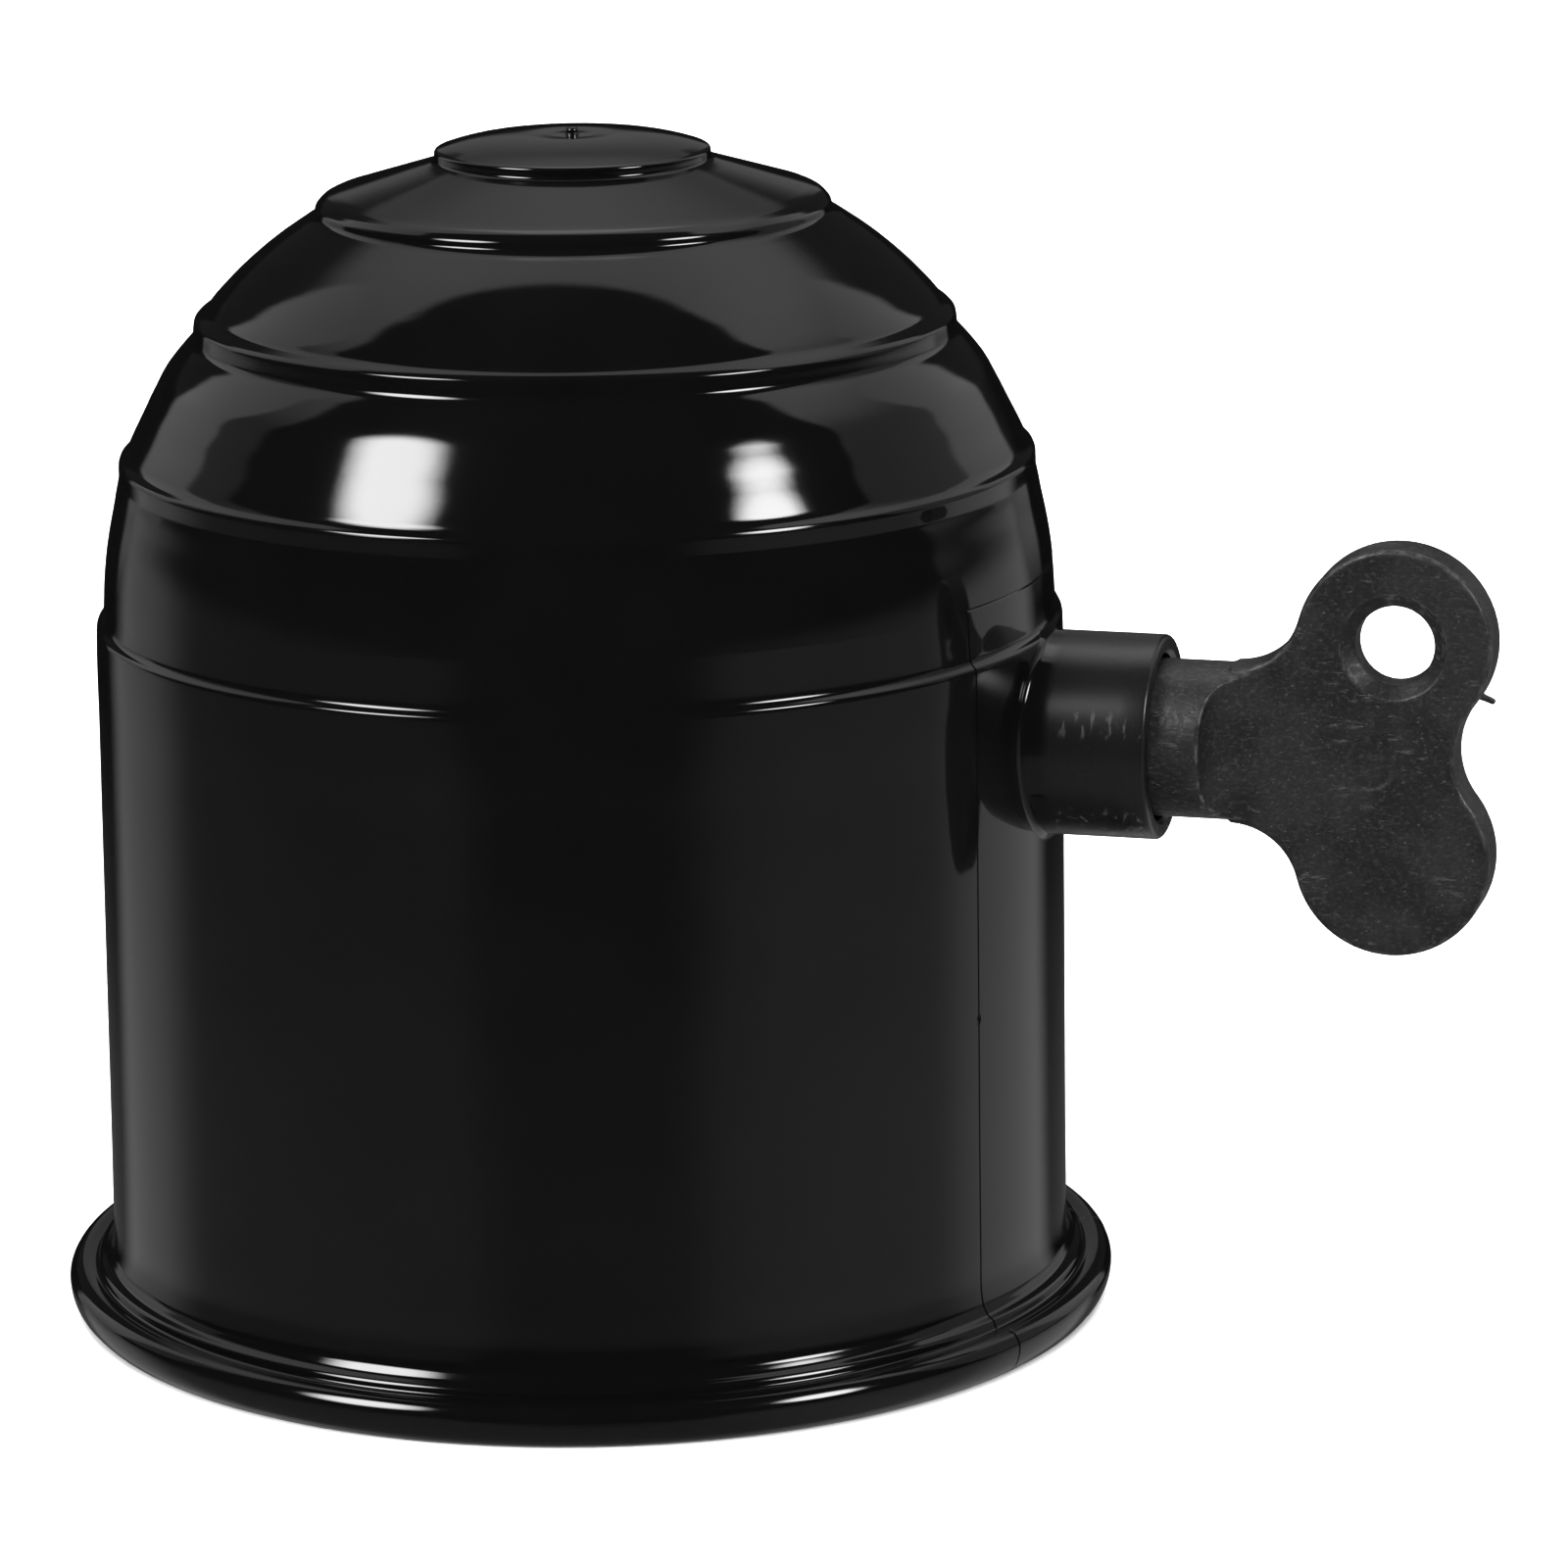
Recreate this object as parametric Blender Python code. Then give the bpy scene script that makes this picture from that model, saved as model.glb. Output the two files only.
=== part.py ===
"""Cover for a 50 mm tow ball, with a key that clamps it in place.

A moulded cap drops over the ball. A key runs in the boss on its side, on a coarse thread of
5 mm lead: half a turn clockwise drives a shoe 2.5 mm inward, under the ball's widest circle.
Metres, +Z up. The origin is on the cap's axis, on the plane of its rim, and +X runs along the key.
"""

import math

import bmesh
import bpy
from mathutils import Matrix, Vector

MM = 0.001

# Ball and motion
BALL_R = 25.0 * MM
BALL_Z = 46.4 * MM
KEY_Z = 38.5 * MM
THREAD_LEAD = 5.0 * MM
GAP = 0.3 * MM

# Cap
ROUND = 40
SKIRT_R = 31.0 * MM
SKIRT_TOP_R = 30.88 * MM
LIP_R = 34.0 * MM
LIP_HEIGHT = 2.8 * MM
FILLET_TOP = 4.3 * MM
CROWN_R = 8.75 * MM
CROWN_Z = 74.7 * MM
CROWN_RISE = 0.9 * MM
CROWN_FULLNESS = 3.6
CROWN_EDGE = 0.2 * MM
CROWN_SIDE = 0.6 * MM
PIP_R = 0.5 * MM
PIP_HEIGHT = 0.4 * MM
# Each bead, downward: its radius, the height of its top edge, how far that edge is eased, and how
# far inside and above it the flare of the tier above begins
BEADS = (
    (16.3 * MM, 71.3 * MM, 0.15 * MM, 0.6 * MM, 0.7 * MM),
    (24.15 * MM, 64.25 * MM, 0.15 * MM, 0.6 * MM, 0.7 * MM),
    (29.12 * MM, 55.3 * MM, 0.15 * MM, 0.55 * MM, 0.8 * MM),
    (SKIRT_TOP_R, 44.95 * MM, 0.15 * MM, 0.4 * MM, 0.6 * MM),
)
# Each tier, downward: the upright side of the bead over it, how far outside that bead and how far
# below its side the tier starts, and how far inside the next bead it ends
TIERS = (
    (0.5 * MM, 0.5 * MM, 0.4 * MM, 1.75 * MM),
    (0.95 * MM, 0.45 * MM, 0.45 * MM, 1.05 * MM),
    (1.1 * MM, 0.08 * MM, 0.2 * MM, 0.58 * MM),
)
TIER_END_RISE = 1.7 * MM
TIER_BULGE = 0.2 * MM
CAVITY_R = 28.6 * MM
CAVITY_SPRING_Z = 44.0 * MM
CAVITY_TOP_Z = 73.0 * MM
MOUTH_R = 29.5 * MM
MOUTH_LEAD = 1.2 * MM

# Ribs that centre the ball, and the two rails that guide the shoe
RIB_R = BALL_R + 0.8 * MM
RIB_WIDTH = 1.8 * MM
RIB_BURY = 0.9 * MM
RIB_BOTTOM = 5.0 * MM
RIB_FULL = 11.0 * MM
RIB_TOP = 66.0 * MM
RIB_ANGLES = (60, 120, 180, 240, 300)
RAIL_INNER_X = 24.9 * MM
RAIL_OUTER_X = 28.7 * MM
RAIL_WIDTH = 1.6 * MM
RAIL_BOTTOM = 27.0 * MM
RAIL_TOP = 50.0 * MM

# Boss and thread
BOSS_R = 6.47 * MM
BOSS_ROOT_X = 29.4 * MM
BOSS_END_X = 38.2 * MM
BOSS_CHAMFER = 0.3 * MM
BORE_START_X = 26.6 * MM
MOUTH_BORE_R = 5.28 * MM
MOUTH_BORE_X = 32.6 * MM
SPOT_FACE_R = 5.6 * MM
SPOT_FACE_X = 28.9 * MM
THREAD_ROOT_R = 3.5 * MM
THREAD_CREST_R = 4.7 * MM
THREAD_ROOT_WIDTH = 2.4 * MM
THREAD_CREST_WIDTH = 1.4 * MM
THREAD_RUN_OUT = 1.3 * MM

# Key
KEY_SHAFT_R = 4.98 * MM
KEY_SHOULDER_X = 30.5 * MM
KEY_COLLAR_X = 35.5 * MM
SEAL_GROOVE_X = (36.0 * MM, 37.4 * MM)
SEAL_GROOVE_R = 3.9 * MM
JOURNAL_R = 1.8 * MM
TIP_X = 26.65 * MM
CLIP_GROOVE_X = (27.0 * MM, 27.7 * MM)
CLIP_GROOVE_R = 1.15 * MM
PLATE_HALF = 1.75 * MM
PLATE_EDGE = 0.5 * MM
LOBE_X = 52.9 * MM
LOBE_Z = 6.85 * MM
LOBE_R = 6.2 * MM
WAIST_R = 4.9 * MM
FLARE_R = 4.4 * MM
SCOOP_R = 3.35 * MM
SCOOP_X = 44.6 * MM
KEY_HOLE_R = 2.45 * MM
KEY_HOLE_MOUTH_R = 3.35 * MM

# Shoe, pad, clip and seal
SHOE_INNER_R = 26.65 * MM
SHOE_OUTER_R = 28.25 * MM
SHOE_HALF_WIDTH = 6.7 * MM
SHOE_HALF_HEIGHT = 8.0 * MM
HUB_R = 3.4 * MM
HUB_END_X = 30.2 * MM
HUB_BORE_R = 2.1 * MM
CLIP_POCKET_R = 3.3 * MM
CLIP_POCKET_X = 27.75 * MM
PAD_INNER_R = BALL_R + 0.2 * MM
PAD_OUTER_R = 26.4 * MM
PAD_HALF_WIDTH = 6.2 * MM
PAD_HALF_HEIGHT = 7.5 * MM
CLIP_X = (27.15 * MM, 27.55 * MM)
CLIP_INNER_R = 1.35 * MM
CLIP_OUTER_R = 2.9 * MM
CLIP_OPENING = 80.0
SEAL_RING_R = 4.6 * MM
SEAL_SECTION_R = 0.5 * MM

SMOOTH_ANGLE = math.radians(32.0)


# ---------------------------------------------------------------- helpers


def clear_scene():
    for obj in list(bpy.data.objects):
        bpy.data.objects.remove(obj, do_unlink=True)


def make_material(name, colour, roughness, metallic=0.0):
    material = bpy.data.materials.new(name)
    material.use_nodes = True
    shader = material.node_tree.nodes["Principled BSDF"]
    shader.inputs["Base Color"].default_value = (*colour, 1.0)
    shader.inputs["Roughness"].default_value = roughness
    shader.inputs["Metallic"].default_value = metallic
    material.diffuse_color = (*colour, 1.0)
    return material


def object_from(name, bm, origin=Vector((0.0, 0.0, 0.0))):
    """An object at origin, holding bm, whose points are given in world space."""
    bmesh.ops.recalc_face_normals(bm, faces=bm.faces)
    bmesh.ops.translate(bm, verts=bm.verts, vec=-origin)
    mesh = bpy.data.meshes.new(name)
    bm.to_mesh(mesh)
    bm.free()
    mesh.shade_smooth()
    mesh.set_sharp_from_angle(angle=SMOOTH_ANGLE)
    obj = bpy.data.objects.new(name, mesh)
    obj.location = origin
    bpy.context.scene.collection.objects.link(obj)
    return obj


def turned(profile, segments, matrix=Matrix.Identity(4)):
    """A bmesh turned round Z from (radius, height) points that start and end on the axis."""
    bm = bmesh.new()
    verts = [bm.verts.new((radius, 0.0, height)) for radius, height in profile]
    edges = [bm.edges.new(pair) for pair in zip(verts, verts[1:])]
    bmesh.ops.spin(
        bm,
        geom=verts + edges,
        axis=(0.0, 0.0, 1.0),
        cent=(0.0, 0.0, 0.0),
        steps=segments,
        angle=2.0 * math.pi,
        use_merge=True,
    )
    bmesh.ops.remove_doubles(bm, verts=bm.verts, dist=0.001 * MM)
    bmesh.ops.transform(bm, matrix=matrix, verts=bm.verts)
    return bm


def prism(outline, depth, matrix=Matrix.Identity(4)):
    """A bmesh of an outline in the XY plane, pushed along Z from 0 to depth."""
    bm = bmesh.new()
    face = bm.faces.new([bm.verts.new((x, y, 0.0)) for x, y in outline])
    pushed = bmesh.ops.extrude_face_region(bm, geom=[face])["geom"]
    tops = [item for item in pushed if isinstance(item, bmesh.types.BMVert)]
    bmesh.ops.translate(bm, verts=tops, vec=(0.0, 0.0, depth))
    bmesh.ops.transform(bm, matrix=matrix, verts=bm.verts)
    return bm


def arc(centre, radius, start, end, steps):
    """Points on a circle from one angle to the other, in degrees, both ends included."""
    points = []
    for step in range(steps + 1):
        angle = math.radians(start + (end - start) * step / steps)
        points.append((centre[0] + radius * math.cos(angle), centre[1] + radius * math.sin(angle)))
    return points


def along_key():
    """Turns +Z onto +X, about the key's axis."""
    return Matrix.Translation((0.0, 0.0, KEY_Z)) @ Matrix.Rotation(math.radians(90.0), 4, "Y")


def boolean(obj, tool, operation):
    tool.hide_render = True
    tool.display_type = "WIRE"
    modifier = obj.modifiers.new(tool.name, "BOOLEAN")
    modifier.object = tool
    modifier.operation = operation
    modifier.solver = "EXACT"


def thread_ridge(name, grow, start_x, end_x):
    """A right-handed ridge round the key's axis, grown on every side by grow.

    At rest its middle crosses the +Y side at KEY_SHOULDER_X plus half a lead.
    """
    slope = (THREAD_ROOT_WIDTH - THREAD_CREST_WIDTH) / 2.0 / (THREAD_CREST_R - THREAD_ROOT_R)
    inner_r = THREAD_ROOT_R - GAP
    outer_r = THREAD_CREST_R + grow
    root_half = THREAD_ROOT_WIDTH / 2.0 + slope * (THREAD_ROOT_R - inner_r) + grow
    crest_half = THREAD_ROOT_WIDTH / 2.0 - slope * (outer_r - THREAD_ROOT_R) + grow
    section = ((inner_r, -root_half), (outer_r, -crest_half), (outer_r, crest_half), (inner_r, root_half))
    middle = KEY_SHOULDER_X + THREAD_LEAD / 2.0
    first = (start_x - middle) / THREAD_LEAD
    steps = math.ceil(24 * (end_x - start_x) / THREAD_LEAD)
    bm = bmesh.new()
    rings = []
    for step in range(steps + 1):
        turns = first + (end_x - start_x) / THREAD_LEAD * step / steps
        angle = 2.0 * math.pi * turns
        ring = []
        for radius, offset in section:
            point = Vector((middle + turns * THREAD_LEAD + offset, radius * math.cos(angle),
                            KEY_Z + radius * math.sin(angle)))
            ring.append(bm.verts.new(point))
        rings.append(ring)
    for ring, following in zip(rings, rings[1:]):
        for side in range(4):
            other = (side + 1) % 4
            bm.faces.new((ring[side], ring[other], following[other], following[side]))
    bm.faces.new(rings[0])
    bm.faces.new(rings[-1])
    bmesh.ops.triangulate(bm, faces=bm.faces)
    return object_from(name, bm)


# ---------------------------------------------------------------- cap


def tier(top, bottom):
    """Points from top to bottom on a shallow arc that bulges outward."""
    start = Vector(top)
    end = Vector(bottom)
    run = end - start
    normal = Vector((-run.y, run.x)).normalized()
    points = []
    for step in range(4):
        share = step / 3.0
        bulge = 4.0 * TIER_BULGE * share * (1.0 - share)
        points.append(tuple(start + run * share + normal * bulge))
    return points


def bead_edge(radius, top, edge, flare_in, flare_up):
    """The start of the flare above a bead and the bead's eased top edge."""
    return [(radius - flare_in, top + flare_up), (radius - edge, top + edge), (radius, top - edge)]


def outer_profile():
    """The cap's outside, from the middle of the crown down to the rim."""
    crown_top = CROWN_Z + CROWN_RISE
    points = [(0.0, crown_top + PIP_HEIGHT), (PIP_R * 0.7, crown_top + PIP_HEIGHT), (PIP_R, crown_top)]
    for share in (0.4, 0.62, 0.8, 0.92):
        points.append((CROWN_R * share, CROWN_Z + CROWN_RISE * (1.0 - share**CROWN_FULLNESS)))
    points.append((CROWN_R - CROWN_EDGE, CROWN_Z))
    points += [(CROWN_R, CROWN_Z - CROWN_EDGE), (CROWN_R - 0.15 * MM, CROWN_Z - CROWN_SIDE)]
    points.append((CROWN_R + 1.6 * MM, CROWN_Z - 1.25 * MM))
    for upper, lower, (side, start_out, start_drop, end_in) in zip(BEADS, BEADS[1:], TIERS):
        radius, top = upper[:2]
        points += bead_edge(*upper)
        points.append((radius + 0.05 * MM, top - side))
        start = (radius + start_out, top - side - start_drop)
        points += tier(start, (lower[0] - end_in, lower[1] + TIER_END_RISE))
    points += bead_edge(*BEADS[-1])
    points += [(SKIRT_R, FILLET_TOP), (SKIRT_R + 0.35 * MM, LIP_HEIGHT + 0.6 * MM)]
    points += [(SKIRT_R + 1.0 * MM, LIP_HEIGHT + 0.3 * MM), (SKIRT_R + 1.35 * MM, LIP_HEIGHT - 0.2 * MM)]
    points += [(LIP_R - 1.0 * MM, LIP_HEIGHT), (LIP_R - 0.3 * MM, LIP_HEIGHT - 0.35 * MM)]
    points += [(LIP_R, LIP_HEIGHT - 1.0 * MM), (LIP_R - 0.15 * MM, 0.8 * MM), (LIP_R - 0.9 * MM, 0.0)]
    return points


def cavity_r(height):
    """The cavity's radius at a height in its dome."""
    share = (height - CAVITY_SPRING_Z) / (CAVITY_TOP_Z - CAVITY_SPRING_Z)
    return CAVITY_R * math.sqrt(max(0.0, 1.0 - share * share))


def inner_profile():
    """The cap's inside, from the rim up to the middle of the cavity's dome."""
    points = [(MOUTH_R, 0.0), (CAVITY_R + 0.2 * MM, MOUTH_LEAD)]
    dome = CAVITY_TOP_Z - CAVITY_SPRING_Z
    for step in range(10):
        angle = math.radians(90.0) * step / 9.0
        points.append((CAVITY_R * math.cos(angle), CAVITY_SPRING_Z + dome * math.sin(angle)))
    points[-1] = (0.0, CAVITY_TOP_Z)
    return points


def locating_rib(name, degrees):
    """A rib whose inner edge follows the ball at a small distance."""
    outline = [(CAVITY_R + RIB_BURY, RIB_BOTTOM), (RIB_R, RIB_FULL)]
    top_angle = math.degrees(math.asin((RIB_TOP - BALL_Z) / RIB_R))
    outline += arc((0.0, BALL_Z), RIB_R, 0.0, top_angle, 5)
    for step in range(6):
        height = RIB_TOP + (CAVITY_SPRING_Z - RIB_TOP) * step / 5.0
        outline.append((cavity_r(height) + RIB_BURY, height))
    # The outline's X runs outward and its Y runs up.
    upright = Matrix.Rotation(math.radians(90.0), 4, "X")
    centred = Matrix.Translation((0.0, RIB_WIDTH / 2.0, 0.0))
    turn = Matrix.Rotation(math.radians(degrees), 4, "Z")
    return object_from(name, prism(outline, RIB_WIDTH, turn @ centred @ upright))


def guide_rail(name, side):
    """An upright rail beside the shoe. side is 1 for +Y and -1 for -Y."""
    near = side * (SHOE_HALF_WIDTH + GAP)
    far = side * (SHOE_HALF_WIDTH + GAP + RAIL_WIDTH)
    outline = [(RAIL_INNER_X, near), (RAIL_OUTER_X, near), (RAIL_OUTER_X, far), (RAIL_INNER_X, far)]
    return object_from(name, prism(outline, RAIL_TOP - RAIL_BOTTOM, Matrix.Translation((0, 0, RAIL_BOTTOM))))


def cap_shell(material):
    shell = object_from("cap_shell", turned(outer_profile() + inner_profile(), ROUND))
    shell.data.materials.append(material)

    boss_profile = [(0.0, BOSS_ROOT_X), (BOSS_R, BOSS_ROOT_X), (BOSS_R, BOSS_END_X - BOSS_CHAMFER)]
    boss_profile += [(BOSS_R - BOSS_CHAMFER, BOSS_END_X), (0.0, BOSS_END_X)]
    boss = object_from("boss_block", turned(boss_profile, 32, along_key()))
    boolean(shell, boss, "UNION")

    for degrees in RIB_ANGLES:
        boolean(shell, locating_rib(f"rib_block_{degrees}", degrees), "UNION")
    for name, side in (("rail_block_left", 1), ("rail_block_right", -1)):
        boolean(shell, guide_rail(name, side), "UNION")

    bore_r = THREAD_ROOT_R + GAP
    bore_profile = [(0.0, BORE_START_X), (SPOT_FACE_R, BORE_START_X), (SPOT_FACE_R, SPOT_FACE_X)]
    bore_profile += [(bore_r, SPOT_FACE_X), (bore_r, MOUTH_BORE_X)]
    bore_profile += [(MOUTH_BORE_R, MOUTH_BORE_X), (MOUTH_BORE_R, BOSS_END_X + MM), (0.0, BOSS_END_X + MM)]
    bore = object_from("bore_cutter", turned(bore_profile, 32, along_key()))
    groove = thread_ridge("thread_cutter", GAP, BORE_START_X, MOUTH_BORE_X + THREAD_RUN_OUT)
    boolean(bore, groove, "UNION")
    boolean(shell, bore, "DIFFERENCE")
    return shell


# ---------------------------------------------------------------- key


def flare_centre():
    """The centre of the arc that runs from the shaft's top line out to the upper lobe."""
    up = KEY_SHAFT_R + FLARE_R
    back = math.sqrt((LOBE_R + FLARE_R) ** 2 - (up - LOBE_Z) ** 2)
    return (LOBE_X - back, up)


def waist_centre():
    """The centre of the arc cut into the head's end, between the lobes."""
    return (LOBE_X + math.sqrt((LOBE_R + WAIST_R) ** 2 - LOBE_Z**2), 0.0)


def head_outline():
    """The head seen along -Y, as (x, height above the axis), from the shaft's top and round."""
    flare = flare_centre()
    waist = waist_centre()
    to_lobe = math.degrees(math.atan2(LOBE_Z - flare[1], LOBE_X - flare[0]))
    to_waist = math.degrees(math.atan2(-LOBE_Z, waist[0] - LOBE_X))
    upper = arc(flare, FLARE_R, -90.0, to_lobe, 4)
    upper += arc((LOBE_X, LOBE_Z), LOBE_R, 180.0 + to_lobe, to_waist, 12)[1:]
    upper += arc(waist, WAIST_R, 180.0 + to_waist, 180.0, 3)[1:]
    lower = [(x, -z) for x, z in reversed(upper[:-1])]
    return upper + lower


def key_head():
    """The flat head, with its edges rounded over."""
    upright = Matrix.Translation((0.0, PLATE_HALF, KEY_Z)) @ Matrix.Rotation(math.radians(90.0), 4, "X")
    bm = prism(head_outline(), 2.0 * PLATE_HALF, upright)
    rims = [edge for edge in bm.edges if len({round(v.co.y, 6) for v in edge.verts}) == 1]
    bmesh.ops.bevel(bm, geom=rims, offset=PLATE_EDGE, offset_type="OFFSET", segments=1, affect="EDGES")
    return object_from("head_block", bm)


def scoop_cutter(name, side):
    """The concave cut that thins the shaft down to the plate, on one side of it."""
    outer = KEY_SHAFT_R + MM
    centre = (SCOOP_X, PLATE_HALF + SCOOP_R)
    outline = arc(centre, SCOOP_R, 180.0, 270.0, 5)
    outline += [(SCOOP_X + 4.0 * MM, PLATE_HALF), (SCOOP_X + 4.0 * MM, outer)]
    outline += [(SCOOP_X - SCOOP_R, outer)]
    outline = [(x, side * y) for x, y in outline]
    low = Matrix.Translation((0.0, 0.0, KEY_Z - KEY_SHAFT_R - MM))
    return object_from(name, prism(outline, 2.0 * (KEY_SHAFT_R + MM), low))


def key_hole_cutter():
    """A hole with a countersink on both faces of the plate."""
    sink = KEY_HOLE_MOUTH_R - KEY_HOLE_R
    past = PLATE_HALF + MM
    half = [(0.0, past), (KEY_HOLE_MOUTH_R + MM, past), (KEY_HOLE_R, PLATE_HALF - sink)]
    profile = half + [(radius, -height) for radius, height in reversed(half)]
    place = Matrix.Translation((LOBE_X, 0.0, KEY_Z + LOBE_Z)) @ Matrix.Rotation(math.radians(90.0), 4, "X")
    return object_from("hole_cutter", turned(profile, 20, place))


def clamp_key(material):
    profile = [(0.0, TIP_X), (JOURNAL_R, TIP_X), (JOURNAL_R, CLIP_GROOVE_X[0])]
    profile += [(CLIP_GROOVE_R, CLIP_GROOVE_X[0]), (CLIP_GROOVE_R, CLIP_GROOVE_X[1])]
    profile += [(JOURNAL_R, CLIP_GROOVE_X[1]), (JOURNAL_R, KEY_SHOULDER_X)]
    profile += [(THREAD_ROOT_R, KEY_SHOULDER_X), (THREAD_ROOT_R, KEY_COLLAR_X)]
    profile += [(KEY_SHAFT_R, KEY_COLLAR_X), (KEY_SHAFT_R, SEAL_GROOVE_X[0])]
    profile += [(SEAL_GROOVE_R, SEAL_GROOVE_X[0]), (SEAL_GROOVE_R, SEAL_GROOVE_X[1])]
    profile += [(KEY_SHAFT_R, SEAL_GROOVE_X[1]), (KEY_SHAFT_R, SCOOP_X + 2.0 * MM)]
    profile += [(0.0, SCOOP_X + 2.0 * MM)]
    axis_point = Vector((KEY_SHOULDER_X, 0.0, KEY_Z))
    key = object_from("clamp_key", turned(profile, 32, along_key()), axis_point)
    key.data.materials.append(material)
    for name, side in (("scoop_front", -1), ("scoop_back", 1)):
        boolean(key, scoop_cutter(name, side), "DIFFERENCE")
    boolean(key, key_head(), "UNION")
    boolean(key, key_hole_cutter(), "DIFFERENCE")
    ridge_start = KEY_SHOULDER_X + THREAD_RUN_OUT
    ridge = thread_ridge("ridge_block", 0.0, ridge_start, KEY_COLLAR_X - THREAD_RUN_OUT)
    boolean(key, ridge, "UNION")
    return key


# ---------------------------------------------------------------- shoe and small pieces


def sector(inner_r, outer_r, half_width, half_height):
    """An upright block that follows the cap's wall, centred on the key's axis."""
    inner_angle = math.degrees(math.asin(half_width / inner_r))
    outer_angle = math.degrees(math.asin(half_width / outer_r))
    outline = arc((0.0, 0.0), inner_r, inner_angle, -inner_angle, 6)
    outline += arc((0.0, 0.0), outer_r, -outer_angle, outer_angle, 6)
    return prism(outline, 2.0 * half_height, Matrix.Translation((0.0, 0.0, KEY_Z - half_height)))


def clamp_shoe(material):
    block = sector(SHOE_INNER_R, SHOE_OUTER_R, SHOE_HALF_WIDTH, SHOE_HALF_HEIGHT)
    shoe = object_from("clamp_shoe", block, Vector((SHOE_INNER_R, 0.0, KEY_Z)))
    shoe.data.materials.append(material)
    root = SHOE_OUTER_R - 0.4 * MM
    hub_profile = [(0.0, root), (HUB_R, root), (HUB_R, HUB_END_X), (0.0, HUB_END_X)]
    boolean(shoe, object_from("hub_block", turned(hub_profile, 24, along_key())), "UNION")
    cut_profile = [(0.0, SHOE_INNER_R - MM), (CLIP_POCKET_R, SHOE_INNER_R - MM)]
    cut_profile += [(CLIP_POCKET_R, CLIP_POCKET_X), (HUB_BORE_R, CLIP_POCKET_X)]
    cut_profile += [(HUB_BORE_R, HUB_END_X + MM), (0.0, HUB_END_X + MM)]
    boolean(shoe, object_from("hub_cutter", turned(cut_profile, 24, along_key())), "DIFFERENCE")
    return shoe


def shoe_pad(material):
    block = sector(PAD_INNER_R, PAD_OUTER_R, PAD_HALF_WIDTH, PAD_HALF_HEIGHT)
    pad = object_from("shoe_pad", block, Vector((PAD_INNER_R, 0.0, KEY_Z)))
    pad.data.materials.append(material)
    return pad


def shoe_clip(material):
    """A flat open ring in the groove at the key's tip, open side down."""
    opening = CLIP_OPENING / 2.0
    outline = arc((0.0, 0.0), CLIP_OUTER_R, opening, 360.0 - opening, 20)
    outline += arc((0.0, 0.0), CLIP_INNER_R, 360.0 - opening, opening, 20)
    place = Matrix.Translation((CLIP_X[0], 0.0, KEY_Z)) @ Matrix.Rotation(math.radians(90.0), 4, "Y")
    ring = prism(outline, CLIP_X[1] - CLIP_X[0], place)
    clip = object_from("shoe_clip", ring, Vector((CLIP_X[0], 0.0, KEY_Z)))
    clip.data.materials.append(material)
    return clip


def key_seal(material):
    """A rubber ring in the collar's groove."""
    middle = sum(SEAL_GROOVE_X) / 2.0
    bm = bmesh.new()
    ring_steps = 32
    section_steps = 8
    rings = []
    for step in range(ring_steps):
        angle = 2.0 * math.pi * step / ring_steps
        ring = []
        for x, radius in arc((middle, SEAL_RING_R), SEAL_SECTION_R, 0.0, 360.0, section_steps)[:-1]:
            ring.append(bm.verts.new((x, radius * math.cos(angle), KEY_Z + radius * math.sin(angle))))
        rings.append(ring)
    for ring, following in zip(rings, rings[1:] + rings[:1]):
        for side in range(section_steps):
            other = (side + 1) % section_steps
            bm.faces.new((ring[side], ring[other], following[other], following[side]))
    seal = object_from("key_seal", bm, Vector((middle, 0.0, KEY_Z)))
    seal.data.materials.append(material)
    return seal


# ---------------------------------------------------------------- assembly


def main():
    clear_scene()
    black_gloss = make_material("black_gloss", (0.012, 0.012, 0.013), 0.12)
    black_satin = make_material("black_satin", (0.022, 0.022, 0.023), 0.5)
    grey_nylon = make_material("grey_nylon", (0.09, 0.09, 0.095), 0.45)
    black_rubber = make_material("black_rubber", (0.02, 0.02, 0.02), 0.85)
    spring_steel = make_material("spring_steel", (0.55, 0.55, 0.56), 0.3, 1.0)

    cap_shell(black_gloss)
    clamp_key(black_satin)
    key_seal(black_rubber)
    clamp_shoe(grey_nylon)
    shoe_pad(black_rubber)
    shoe_clip(spring_steel)


main()
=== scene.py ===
import math

import bmesh
import bpy
from mathutils import Matrix, Vector


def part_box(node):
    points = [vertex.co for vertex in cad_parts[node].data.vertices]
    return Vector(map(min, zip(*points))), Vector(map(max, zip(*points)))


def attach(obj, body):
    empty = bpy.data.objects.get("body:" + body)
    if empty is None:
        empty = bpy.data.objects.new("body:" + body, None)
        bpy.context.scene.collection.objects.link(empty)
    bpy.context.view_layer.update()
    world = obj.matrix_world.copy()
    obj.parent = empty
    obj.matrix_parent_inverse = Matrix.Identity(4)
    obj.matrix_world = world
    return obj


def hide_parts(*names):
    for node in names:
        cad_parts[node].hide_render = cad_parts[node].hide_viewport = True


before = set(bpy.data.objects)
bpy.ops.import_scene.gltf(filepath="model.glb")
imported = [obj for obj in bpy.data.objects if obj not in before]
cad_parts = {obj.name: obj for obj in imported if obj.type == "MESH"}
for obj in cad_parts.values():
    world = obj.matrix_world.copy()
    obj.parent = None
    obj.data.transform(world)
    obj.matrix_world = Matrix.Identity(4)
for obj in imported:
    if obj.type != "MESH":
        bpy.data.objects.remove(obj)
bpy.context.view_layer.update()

MM = 0.001
GAP = 0.3 * MM

# ---------------------------------------------------------------- places taken from the frame

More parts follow.
